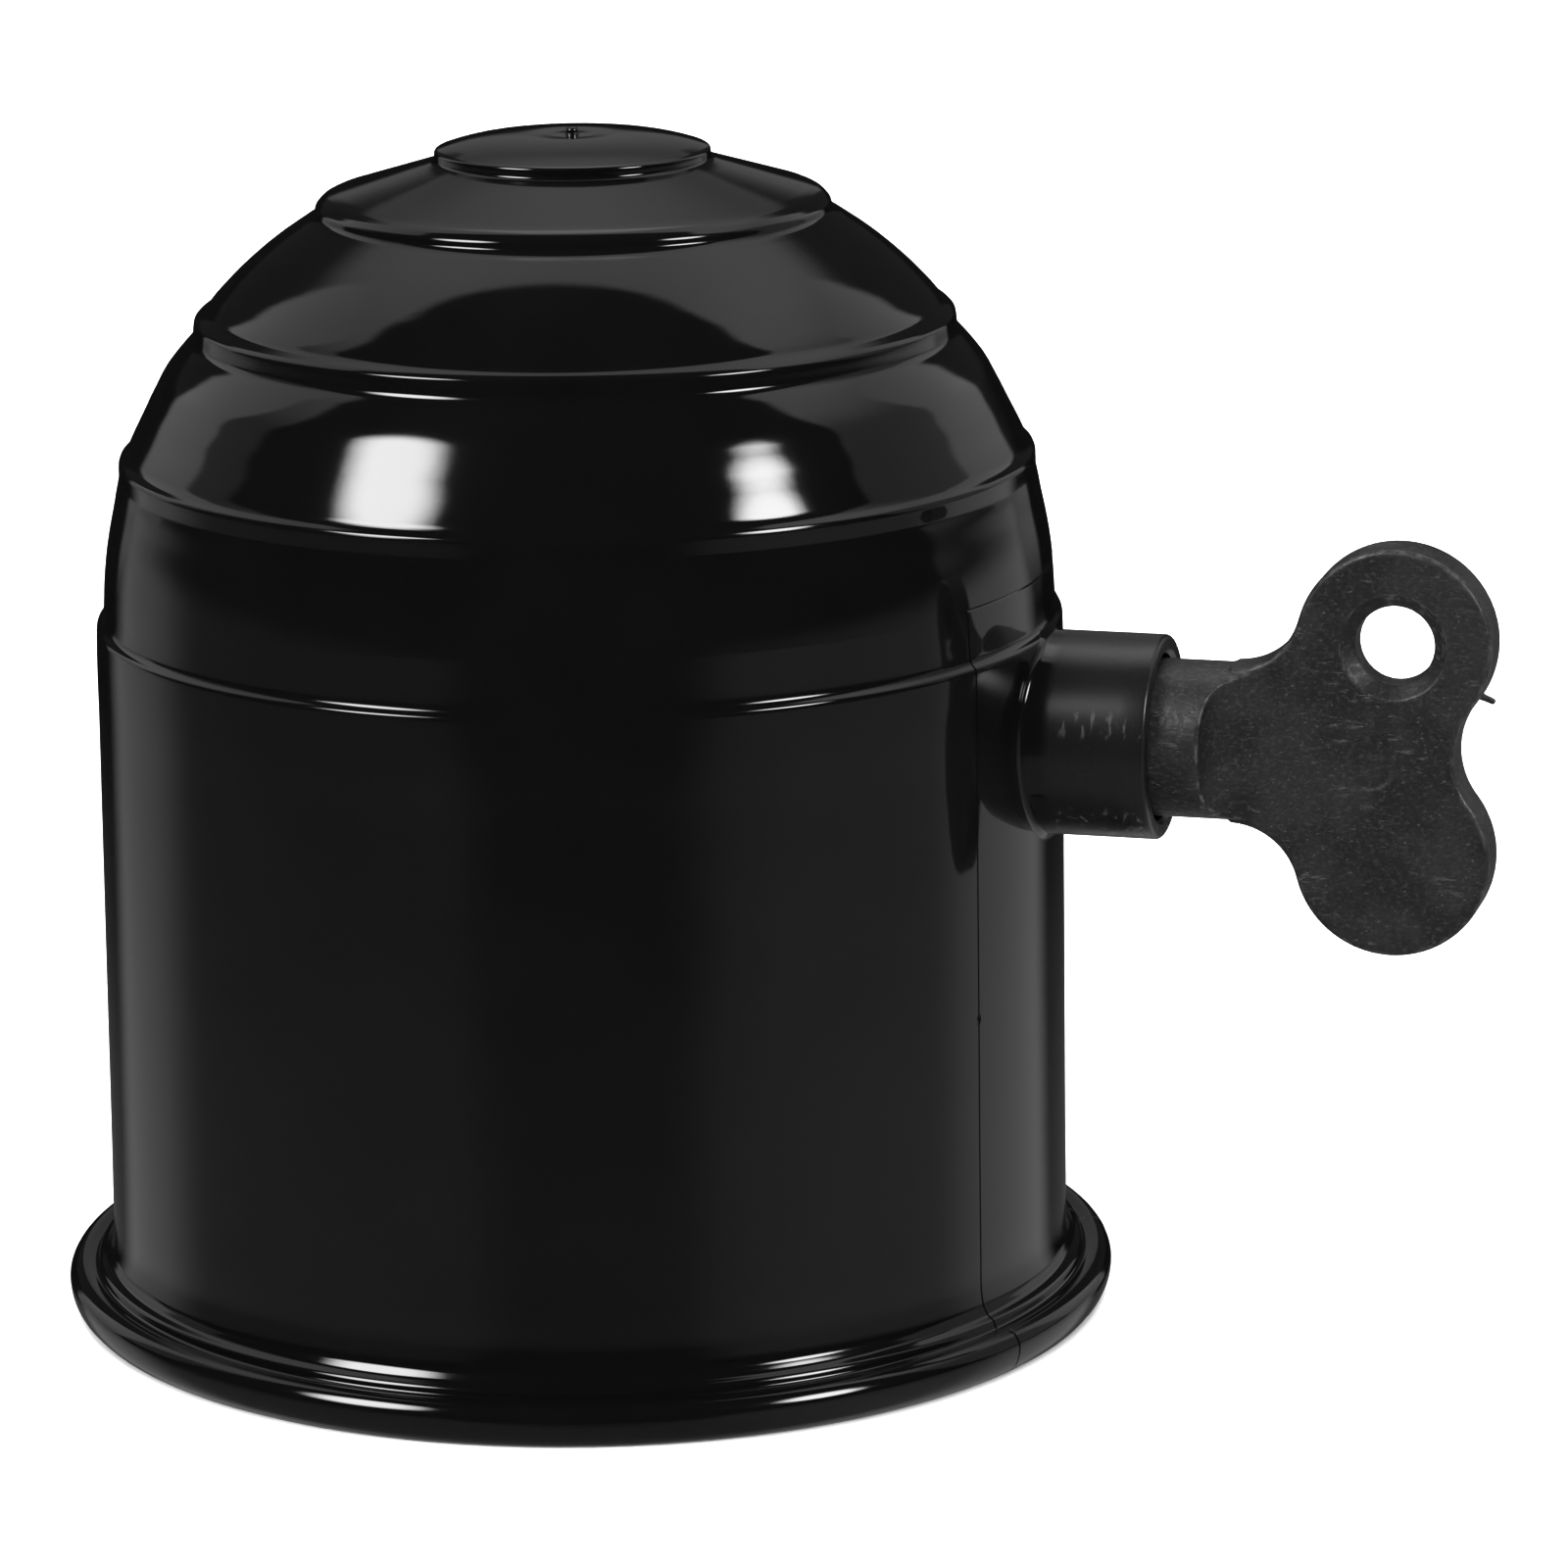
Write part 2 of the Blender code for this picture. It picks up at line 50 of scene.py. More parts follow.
CAP_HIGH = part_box("cap_shell")[1]
KEY_LOW, KEY_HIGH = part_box("clamp_key")
SEAL_LOW, SEAL_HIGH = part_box("key_seal")
SHOE_LOW, SHOE_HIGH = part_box("clamp_shoe")
PAD_LOW, PAD_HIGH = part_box("shoe_pad")
CLIP_LOW, CLIP_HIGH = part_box("shoe_clip")
KEY_Z = (SEAL_LOW.z + SEAL_HIGH.z) / 2.0
TOP_Z = CAP_HIGH.z
BOSS_END_X = CAP_HIGH.x
HEAD_END_X = KEY_HIGH.x
HEAD_HALF_HEIGHT = (KEY_HIGH.z - KEY_LOW.z) / 2.0

# ---------------------------------------------------------------- driving sizes of the looks

AROUND = 288
PANEL_HALF_ANGLE = 21.5
PANEL_TOP = 48.5 * MM
SEAM_WIDTH = 0.2 * MM
SEAM_DEPTH = 0.16 * MM
PANEL_STEP = 0.03 * MM
CAVITY_R = 28.6 * MM
CAVITY_SPRING_Z = 44.0 * MM
CAVITY_TOP_Z = 73.0 * MM
MOUTH_R = 29.5 * MM
BALL_R = 25.0 * MM
BALL_Z = 46.4 * MM
RIB_R = BALL_R + 0.8 * MM
RIB_ANGLES = (60, 120, 180, 240, 300)

BOSS_R = 6.47 * MM
BOSS_FILLET = 0.4 * MM
BOSS_EDGE = 0.3 * MM
MOUTH_BORE_R = 5.28 * MM
MOUTH_BORE_X = 32.6 * MM
SPOT_FACE_R = 5.6 * MM
SPOT_FACE_X = 28.9 * MM
THREAD_ROOT_R = 3.5 * MM
THREAD_CREST_R = 4.7 * MM
THREAD_LEAD = 5.0 * MM

SHAFT_R = 4.98 * MM
SHOULDER_X = 30.5 * MM
COLLAR_X = 35.5 * MM
SEAL_GROOVE_X = (36.0 * MM, 37.4 * MM)
SEAL_GROOVE_R = 3.9 * MM
JOURNAL_R = 1.8 * MM
CLIP_GROOVE_X = (27.0 * MM, 27.7 * MM)
CLIP_GROOVE_R = 1.15 * MM
PLATE_HALF = 1.75 * MM
LOBE_R = 6.2 * MM
LOBE_X = HEAD_END_X - LOBE_R
LOBE_Z = HEAD_HALF_HEIGHT - LOBE_R
WAIST_R = 4.9 * MM
FLARE_R = 4.4 * MM
SCOOP_R = 3.35 * MM
SCOOP_X = 44.6 * MM
HOLE_R = 2.45 * MM
HOLE_MOUTH_R = 3.35 * MM

# The cap's outside from the middle of the crown to the rim: radius and height in mm, and the
# elevation of the outward surface normal in degrees.
PIP = ((0.0, 76.0, 90), (0.22, 75.99, 86), (0.37, 75.9, 30), (0.41, 75.78, 5), (0.44, 75.64, 12),
       (0.6, 75.6, 86))
CROWN = ((3.0, 75.6, 88.6), (5.0, 75.49, 84.7), (6.5, 75.29, 79.7), (7.6, 75.04, 74.7), (8.35, 74.81, 71),
         (8.62, 74.7, 55), (8.72, 74.54, 10), (8.74, 74.2, 3), (8.82, 74.02, 40), (9.0, 73.91, 68))
FLARE = ((9.8, 73.65, 73.2), (15.4, 71.96, 73.2))
BEAD_1 = ((15.85, 71.74, 62), (16.15, 71.42, 48), (16.3, 71.12, 10), (16.34, 70.95, 7))
TIER_1 = ((16.48, 70.72, 33), (17.1, 70.3, 51), (17.5, 70.03, 54), (18.58, 69.3, 53), (19.58, 68.55, 50.5),
          (21.25, 67.1, 46.5), (22.1, 66.25, 44), (22.85, 65.45, 42), (23.15, 65.08, 43))
BEAD_2 = ((23.38, 64.78, 55), (23.75, 64.52, 64), (24.02, 64.28, 46), (24.12, 64.05, 9), (24.2, 63.3, 4))
TIER_2 = ((24.34, 62.98, 30), (24.6, 62.72, 41), (25.2, 62.05, 40), (25.99, 61.05, 35.5), (26.79, 59.6, 29.5),
          (27.54, 58.1, 27), (28.1, 57.0, 26), (28.48, 56.2, 25))
BEAD_3 = ((28.62, 55.93, 38), (28.78, 55.72, 54), (28.98, 55.54, 54), (29.1, 55.32, 24), (29.13, 55.1, 4),
          (29.14, 54.35, 1))
TIER_3 = ((29.19, 54.1, 14), (29.59, 52.1, 13.5), (29.9, 50.6, 11.2), (30.13, 49.1, 8), (30.28, 47.6, 4.5),
          (30.34, 46.5, 3), (30.4, 45.7, 7))
BEAD_4 = ((30.48, 45.3, 25), (30.62, 45.1, 44), (30.76, 44.97, 42), (30.84, 44.8, 14), (30.87, 44.55, 2))
SKIRT = ((30.9, 38.0, 0.3), (30.96, 25.0, 0.3), (31.05, 7.0, 0.6), (31.06, 5.4, 3))
LIP = ((31.16, 4.35, 15), (31.36, 3.75, 42), (31.66, 3.35, 66), (31.9, 3.2, 62), (32.06, 3.0, 28),
       (32.14, 2.76, 22), (32.3, 2.6, 70), (32.55, 2.64, 104), (33.0, 2.76, 90), (33.5, 2.62, 62),
       (33.86, 2.2, 30), (34.0, 1.75, 2), (33.9, 1.0, -18), (33.55, 0.35, -45), (33.1, 0.0, -86))
OUTSIDE = PIP + CROWN + FLARE + BEAD_1 + TIER_1 + BEAD_2 + TIER_2 + BEAD_3 + TIER_3 + BEAD_4 + SKIRT + LIP


# ---------------------------------------------------------------- mesh helpers


def mesh_object(name, bm, sharp_angle=35.0):
    bmesh.ops.recalc_face_normals(bm, faces=bm.faces)
    mesh = bpy.data.meshes.new(name)
    bm.to_mesh(mesh)
    bm.free()
    mesh.shade_smooth()
    mesh.set_sharp_from_angle(angle=math.radians(sharp_angle))
    obj = bpy.data.objects.new(name, mesh)
    bpy.context.scene.collection.objects.link(obj)
    return obj


def evaluated_bmesh(obj):
    """The mesh that an object's modifiers make, as a new bmesh."""
    graph = bpy.context.evaluated_depsgraph_get()
    bm = bmesh.new()
    bm.from_object(obj, graph)
    return bm


def remove(*objects):
    for obj in objects:
        bpy.data.objects.remove(obj, do_unlink=True)


def combined(base, tools, sharp_angle=35.0):
    """base after a union or difference with each (object, operation), as one applied mesh."""
    name = base.name
    for tool, operation in tools:
        modifier = base.modifiers.new(tool.name, "BOOLEAN")
        modifier.object = tool
        modifier.operation = operation
        modifier.solver = "EXACT"
    bm = evaluated_bmesh(base)
    remove(base, *[tool for tool, operation in tools])
    return mesh_object(name, bm, sharp_angle)


def turned(profile, segments, matrix=Matrix.Identity(4)):
    """A bmesh turned round Z from (radius, height) points; a point on the axis makes a pole."""
    bm = bmesh.new()
    rings = []
    for radius, height in profile:
        if radius < 1e-7:
            rings.append([bm.verts.new((0.0, 0.0, height))])
            continue
        ring = []
        for step in range(segments):
            angle = 2.0 * math.pi * step / segments
            ring.append(bm.verts.new((radius * math.cos(angle), radius * math.sin(angle), height)))
        rings.append(ring)
    bridge_rings(bm, rings)
    bmesh.ops.transform(bm, matrix=matrix, verts=bm.verts)
    return bm


def bridge_rings(bm, rings):
    """Faces between closed rings of points, where a ring of one point is a pole."""
    for ring, following in zip(rings, rings[1:]):
        count = max(len(ring), len(following))
        for step in range(count):
            after = (step + 1) % count
            if len(ring) == 1:
                bm.faces.new((ring[0], following[step], following[after]))
            elif len(following) == 1:
                bm.faces.new((ring[after], ring[step], following[0]))
            else:
                bm.faces.new((ring[after], ring[step], following[step], following[after]))


def prism(outline, depth, matrix=Matrix.Identity(4)):
    """A bmesh of an outline in the XY plane, pushed along Z from 0 to depth."""
    bm = bmesh.new()
    face = bm.faces.new([bm.verts.new((x, y, 0.0)) for x, y in outline])
    pushed = bmesh.ops.extrude_face_region(bm, geom=[face])["geom"]
    tops = [item for item in pushed if isinstance(item, bmesh.types.BMVert)]
    bmesh.ops.translate(bm, verts=tops, vec=(0.0, 0.0, depth))
    bmesh.ops.transform(bm, matrix=matrix, verts=bm.verts)
    return bm


def ease_edges(bm, width, segments=3, min_angle=40.0):
    """Rounds every edge sharper than min_angle."""
    edges = [edge for edge in bm.edges
             if len(edge.link_faces) == 2 and edge.calc_face_angle(0.0) > math.radians(min_angle)]
    bmesh.ops.bevel(bm, geom=edges, offset=width, offset_type="OFFSET", segments=segments,
                    profile=0.5, affect="EDGES", clamp_overlap=True)


def arc(centre, radius, start, end, steps):
    """Points on a circle from one angle to the other, in degrees, both ends included."""
    points = []
    for step in range(steps + 1):
        angle = math.radians(start + (end - start) * step / steps)
        points.append((centre[0] + radius * math.cos(angle), centre[1] + radius * math.sin(angle)))
    return points


def along_key():
    """Turns +Z onto +X, about the key's axis."""
    return Matrix.Translation((0.0, 0.0, KEY_Z)) @ Matrix.Rotation(math.radians(90.0), 4, "Y")


def smooth_step(low, high, value):
    share = min(1.0, max(0.0, (value - low) / (high - low)))
    return share * share * (3.0 - 2.0 * share)


def smooth_line(nodes):
    """Points in metres along curves through nodes of radius, height in mm and normal elevation."""
    line = []
    for (r0, z0, e0), (r1, z1, e1) in zip(nodes, nodes[1:]):
        start, end = Vector((r0, z0)), Vector((r1, z1))
        span = (end - start).length
        out_0 = Vector((math.sin(math.radians(e0)), -math.cos(math.radians(e0)))) * span
        out_1 = Vector((math.sin(math.radians(e1)), -math.cos(math.radians(e1)))) * span
        steps = max(2, math.ceil(abs(e1 - e0) / 7.0), math.ceil(span / 0.8))
        for step in range(steps):
            t = step / steps
            point = start * (2 * t**3 - 3 * t**2 + 1) + out_0 * (t**3 - 2 * t**2 + t)
            point += end * (3 * t**2 - 2 * t**3) + out_1 * (t**3 - t**2)
            line.append((point.x * MM, point.y * MM))
    line.append((nodes[-1][0] * MM, nodes[-1][1] * MM))
    return line


OUTSIDE_LINE = smooth_line(OUTSIDE)


def outside_r(height):
    """The cap's outer radius at a height on its skirt or lowest tier."""
    for (r0, z0), (r1, z1) in zip(OUTSIDE_LINE, OUTSIDE_LINE[1:]):
        if z0 >= height >= z1 and z0 > z1:
            return r0 + (r1 - r0) * (z0 - height) / (z0 - z1)
    return OUTSIDE_LINE[-1][0]


# ---------------------------------------------------------------- cap


def with_rows(line, heights):
    """The line with extra points at these heights."""
    rows = []
    for (r0, z0), (r1, z1) in zip(line, line[1:]):
        rows.append((r0, z0))
        for height in sorted(heights, reverse=True):
            if z0 > height > z1:
                rows.append((r0 + (r1 - r0) * (z0 - height) / (z0 - z1), height))
    rows.append(line[-1])
    return rows


def cap_angles():
    """Even steps round the cap, with close columns at the two seams."""
    half_seam = math.degrees(SEAM_WIDTH / 2.0 / (31.0 * MM))
    angles = [360.0 * step / AROUND for step in range(AROUND)]
    for seam in (PANEL_HALF_ANGLE, 360.0 - PANEL_HALF_ANGLE):
        angles = [angle for angle in angles if abs(angle - seam) > 2.5 * half_seam]
        angles += [seam - 2.0 * half_seam, seam - half_seam, seam, seam + half_seam, seam + 2.0 * half_seam]
    return sorted(angles)


def panel_shift(angle, height):
    """How far the side panel's step and the seams round it move the skin inward."""
    side = min(angle, 360.0 - angle)
    if height > PANEL_TOP + SEAM_WIDTH or height < 0.2 * MM:
        return 0.0
    seam_half = math.degrees(SEAM_WIDTH / 2.0 / (31.0 * MM))
    across = abs(side - PANEL_HALF_ANGLE) / seam_half
    shift = SEAM_DEPTH * max(0.0, 1.0 - across) if height < PANEL_TOP else 0.0
    if side < PANEL_HALF_ANGLE:
        along = abs(height - PANEL_TOP) / (SEAM_WIDTH / 2.0)
        shift = max(shift, SEAM_DEPTH * 0.7 * max(0.0, 1.0 - along))
        if height < PANEL_TOP:
            shift += PANEL_STEP
    return shift


def inside_line():
    """From the rim's inner edge up to the middle of the cavity's dome."""
    line = [(MOUTH_R, 0.0), (MOUTH_R - 0.1 * MM, 0.1 * MM), (CAVITY_R + 0.2 * MM, 1.2 * MM)]
    line += [(CAVITY_R, 1.8 * MM)]
    rows = 26
    line += [(CAVITY_R, 1.8 * MM + (CAVITY_SPRING_Z - 1.8 * MM) * row / rows) for row in range(1, rows)]
    dome = CAVITY_TOP_Z - CAVITY_SPRING_Z
    steps = 30
    for step in range(steps):
        angle = math.radians(90.0) * step / steps
        line.append((CAVITY_R * math.cos(angle), CAVITY_SPRING_Z + dome * math.sin(angle)))
    line.append((0.0, CAVITY_TOP_Z))
    return line


def cap_skin():
    """The turned wall, with the side panel's seams let into it."""
    half = SEAM_WIDTH / 2.0
    seam_rows = [PANEL_TOP + offset for offset in (-2.0 * half, -half, 0.0, half, 2.0 * half)]
    outside = with_rows(OUTSIDE_LINE, seam_rows)
    line = outside + inside_line()
    angles = cap_angles()
    bm = bmesh.new()
    rings = []
    for number, (radius, height) in enumerate(line):
        if radius < 1e-7:
            rings.append([bm.verts.new((0.0, 0.0, height))])
            continue
        ring = []
        for angle in angles:
            shift = panel_shift(angle, height) if number < len(outside) else 0.0
            turn = math.radians(angle)
            shifted = radius - shift
            ring.append(bm.verts.new((shifted * math.cos(turn), shifted * math.sin(turn), height)))
        rings.append(ring)
    bridge_rings(bm, rings)
    return mesh_object("cap", bm)


def boss_block():
    """The boss as a solid, with a fillet where it meets the skirt."""
    segments = 144
    bm = bmesh.new()
    rings = [[bm.verts.new((BOSS_END_X, 0.0, KEY_Z))]]
    for share in (0.35, 0.7):
        rings.append(boss_ring(bm, segments, (BOSS_R - BOSS_EDGE) * share, BOSS_END_X))
    for radius, x in arc((BOSS_R - BOSS_EDGE, BOSS_END_X - BOSS_EDGE), BOSS_EDGE, 90.0, 0.0, 5):
        rings.append(boss_ring(bm, segments, radius, x))
    for share in (0.2, 0.4, 0.6, 0.8, 1.0):
        rings.append(boss_ring(bm, segments, BOSS_R, BOSS_END_X - BOSS_EDGE, share))
    fillet_steps = 8
    for step in range(1, fillet_steps + 1):
        angle = math.radians(90.0) * step / fillet_steps
        grow = BOSS_FILLET * (1.0 - math.cos(angle))
        out = BOSS_FILLET * (1.0 - math.sin(angle)) - 0.015 * MM
        rings.append(skirt_ring(bm, segments, BOSS_R + grow, out))
    rings.append(skirt_ring(bm, segments, BOSS_R + BOSS_FILLET, -1.0 * MM))
    rings.append([bm.verts.new((29.6 * MM, 0.0, KEY_Z))])
    bridge_rings(bm, rings)
    return mesh_object("boss_block", bm)


def skirt_point(radius, turn, out):
    """A point at a radius round the key's axis, as far out from the skirt as out says."""
    y = radius * math.cos(turn)
    z = KEY_Z + radius * math.sin(turn)
    return Vector((math.sqrt(outside_r(z) ** 2 - y * y) + out, y, z))


def skirt_ring(bm, segments, radius, out):
    """A ring of points that follows the skirt round the boss."""
    turns = [2.0 * math.pi * step / segments for step in range(segments)]
    return [bm.verts.new(skirt_point(radius, turn, out)) for turn in turns]


def boss_ring(bm, segments, radius, x, toward_skirt=0.0):
    """A ring round the boss at x, or part of the way from x to the fillet's edge."""
    ring = []
    for step in range(segments):
        turn = 2.0 * math.pi * step / segments
        point = Vector((x, radius * math.cos(turn), KEY_Z + radius * math.sin(turn)))
        if toward_skirt:
            edge = skirt_point(radius, turn, BOSS_FILLET)
            point = point.lerp(edge, toward_skirt)
        ring.append(bm.verts.new(point))
    return ring


def cavity_r(height):
    share = (height - CAVITY_SPRING_Z) / (CAVITY_TOP_Z - CAVITY_SPRING_Z)
    return CAVITY_R * math.sqrt(max(0.0, 1.0 - share * share))


def rib_block(degrees):
    """A locating rib: its inner edge follows the ball."""
    width, top, full, bottom, bury = 1.8 * MM, 66.0 * MM, 11.0 * MM, 5.0 * MM, 0.9 * MM
    outline = [(CAVITY_R + bury, bottom), (RIB_R, full)]
    outline += arc((0.0, BALL_Z), RIB_R, 0.0, math.degrees(math.asin((top - BALL_Z) / RIB_R)), 24)
    for step in range(13):
        height = top + (CAVITY_SPRING_Z - top) * step / 12.0
        outline.append((cavity_r(height) + bury, height))
    place = Matrix.Rotation(math.radians(degrees), 4, "Z") @ Matrix.Translation((0.0, width / 2.0, 0.0))
    bm = prism(outline, width, place @ Matrix.Rotation(math.radians(90.0), 4, "X"))
    ease_edges(bm, 0.25 * MM)
    return mesh_object(f"rib_block_{degrees}", bm)


def rail_block(name, side):
    """An upright rail beside the shoe."""
    bottom, top, inner_x, outer_x = 27.0 * MM, 50.0 * MM, 24.9 * MM, 28.75 * MM
    near = side * (SHOE_HIGH.y + GAP)
    far = side * (SHOE_HIGH.y + GAP + 1.6 * MM)
    outline = [(inner_x, near), (outer_x, near), (outer_x, far), (inner_x, far)]
    bm = prism(outline, top - bottom, Matrix.Translation((0.0, 0.0, bottom)))
    ease_edges(bm, 0.2 * MM)
    return mesh_object(name, bm)


def thread_block(name, grow, start_x, end_x, per_turn=64):
    """A right-handed ridge round the key's axis, grown on every side by grow."""
    root_width, crest_width = 2.4 * MM, 1.4 * MM
    slope = (root_width - crest_width) / 2.0 / (THREAD_CREST_R - THREAD_ROOT_R)
    inner_r = THREAD_ROOT_R - GAP
    outer_r = THREAD_CREST_R + grow
    root_half = root_width / 2.0 + slope * (THREAD_ROOT_R - inner_r) + grow
    crest_half = root_width / 2.0 - slope * (outer_r - THREAD_ROOT_R) + grow
    section = ((inner_r, -root_half), (outer_r, -crest_half), (outer_r, crest_half), (inner_r, root_half))
    middle = SHOULDER_X + THREAD_LEAD / 2.0
    first = (start_x - middle) / THREAD_LEAD
    steps = math.ceil(per_turn * (end_x - start_x) / THREAD_LEAD)
    bm = bmesh.new()
    rings = []
    for step in range(steps + 1):
        turns = first + (end_x - start_x) / THREAD_LEAD * step / steps
        angle = 2.0 * math.pi * turns
        along = middle + turns * THREAD_LEAD
        across, up = math.cos(angle), math.sin(angle)
        rings.append([bm.verts.new((along + offset, radius * across, KEY_Z + radius * up))
                      for radius, offset in section])
    bridge_rings(bm, rings)
    bm.faces.new(rings[0])
    bm.faces.new(rings[-1])
    bmesh.ops.triangulate(bm, faces=bm.faces)
    return mesh_object(name, bm)


def bore_block():
    """The space inside the boss: spot face, threaded bore and wide mouth."""
    bore_r = THREAD_ROOT_R + GAP
    start_x, past_x, ease = 26.6 * MM, BOSS_END_X + 1.0 * MM, 0.25 * MM
    profile = [(0.0, start_x), (SPOT_FACE_R, start_x), (SPOT_FACE_R, SPOT_FACE_X), (bore_r, SPOT_FACE_X)]
    profile += [(bore_r, MOUTH_BORE_X), (MOUTH_BORE_R, MOUTH_BORE_X), (MOUTH_BORE_R, BOSS_END_X - ease)]
    profile += [(MOUTH_BORE_R + ease + 1.0 * MM, past_x), (0.0, past_x)]
    return mesh_object("bore_block", turned(profile, 96, along_key()))


def seam_nick():
    """The small chip in the seam in front of the boss."""
    height, size = 22.6 * MM, 0.26 * MM
    turn = math.radians(-PANEL_HALF_ANGLE)
    bm = bmesh.new()
    bmesh.ops.create_icosphere(bm, subdivisions=2, radius=size)
    bmesh.ops.scale(bm, vec=(1.0, 1.0, 1.5), verts=bm.verts)
    spot = Vector((outside_r(height) * math.cos(turn), outside_r(height) * math.sin(turn), height))
    bmesh.ops.translate(bm, vec=spot, verts=bm.verts)
    return mesh_object("seam_nick", bm)


def make_cap():
    bore = combined(bore_block(), [(thread_block("groove_block", GAP, 26.6 * MM, 33.9 * MM), "UNION")])
    tools = [(boss_block(), "UNION")]
    tools += [(rib_block(degrees), "UNION") for degrees in RIB_ANGLES]
    tools += [(rail_block("rail_block_left", 1), "UNION"), (rail_block("rail_block_right", -1), "UNION")]
    tools.append((bore, "DIFFERENCE"))
    tools.append((seam_nick(), "DIFFERENCE"))
    return combined(cap_skin(), tools, 30.0)


# ---------------------------------------------------------------- key


def head_outline():
    """The head seen along -Y, as (x, height above the axis), from the shaft's top and round."""
    flare_up = SHAFT_R + FLARE_R
    flare = (LOBE_X - math.sqrt((LOBE_R + FLARE_R) ** 2 - (flare_up - LOBE_Z) ** 2), flare_up)
    waist = (LOBE_X + math.sqrt((LOBE_R + WAIST_R) ** 2 - LOBE_Z**2), 0.0)
    to_lobe = math.degrees(math.atan2(LOBE_Z - flare[1], LOBE_X - flare[0]))
    to_waist = math.degrees(math.atan2(-LOBE_Z, waist[0] - LOBE_X))
    upper = arc(flare, FLARE_R, -90.0, to_lobe, 16)
    upper += arc((LOBE_X, LOBE_Z), LOBE_R, 180.0 + to_lobe, to_waist, 56)[1:]
    upper += arc(waist, WAIST_R, 180.0 + to_waist, 180.0, 14)[1:]
    lower = [(x, -z) for x, z in reversed(upper[:-1])]
    return upper + lower


def head_block():
    upright = Matrix.Translation((0.0, PLATE_HALF, KEY_Z)) @ Matrix.Rotation(math.radians(90.0), 4, "X")
    bm = prism(head_outline(), 2.0 * PLATE_HALF, upright)
    rims = [edge for edge in bm.edges if len({round(v.co.y, 6) for v in edge.verts}) == 1]
    bmesh.ops.bevel(bm, geom=rims, offset=0.35 * MM, offset_type="OFFSET", segments=3,
                    profile=0.5, affect="EDGES")
    return mesh_object("head_block", bm)


def scoop_block(name, side):
    """The concave cut that thins the shaft down to the plate, on one side of it."""
    outer = SHAFT_R + 1.0 * MM
    outline = arc((SCOOP_X, PLATE_HALF + SCOOP_R), SCOOP_R, 180.0, 270.0, 24)
    outline += [(SCOOP_X + 4.0 * MM, PLATE_HALF), (SCOOP_X + 4.0 * MM, outer), (SCOOP_X - SCOOP_R, outer)]
    outline = [(x, side * y) for x, y in outline]
    low = Matrix.Translation((0.0, 0.0, KEY_Z - outer))
    return mesh_object(name, prism(outline, 2.0 * outer, low))


def hole_block():
    sink = HOLE_MOUTH_R - HOLE_R
    past = PLATE_HALF + 1.0 * MM
    half = [(0.0, past), (HOLE_MOUTH_R + 1.0 * MM, past), (HOLE_R, PLATE_HALF - sink)]
    profile = half + [(radius, -height) for radius, height in reversed(half)]
    place = Matrix.Translation((LOBE_X, 0.0, KEY_Z + LOBE_Z)) @ Matrix.Rotation(math.radians(90.0), 4, "X")
    return mesh_object("hole_block", turned(profile, 96, place))


def key_outer_part():
    """Shaft end and head, with every edge softened as in the mould."""
    start_x, end_x = 37.6 * MM, SCOOP_X + 2.0 * MM
    profile = [(0.0, start_x), (SHAFT_R, start_x), (SHAFT_R, end_x), (0.0, end_x)]
    shaft = mesh_object("key_outer", turned(profile, 96, along_key()))
    tools = [(scoop_block("scoop_front", -1), "DIFFERENCE"), (scoop_block("scoop_back", 1), "DIFFERENCE")]
    tools += [(head_block(), "UNION"), (hole_block(), "DIFFERENCE")]
    solid = combined(shaft, tools)
    remesh = solid.modifiers.new("Remesh", "REMESH")
    remesh.mode = "VOXEL"
    remesh.voxel_size = 0.115 * MM
    smooth = solid.modifiers.new("Smooth", "SMOOTH")
    smooth.factor = 0.5
    smooth.iterations = 4
    bm = evaluated_bmesh(solid)
    remove(solid)
    mark_head(bm)
    return bm


def mark_head(bm):
    """The round mark that an ejector pin leaves on the front of the plate, slightly sunk."""
    centre = Vector((51.4 * MM, 0.0, KEY_Z - 0.6 * MM))
    mark_r, ramp, depth = 1.7 * MM, 0.14 * MM, 0.09 * MM
    for vert in bm.verts:
        if vert.co.y > -PLATE_HALF * 0.8:
            continue
        away = math.hypot(vert.co.x - centre.x, vert.co.z - centre.z)
        vert.co.y += depth * (1.0 - smooth_step(mark_r - ramp, mark_r + ramp, away))


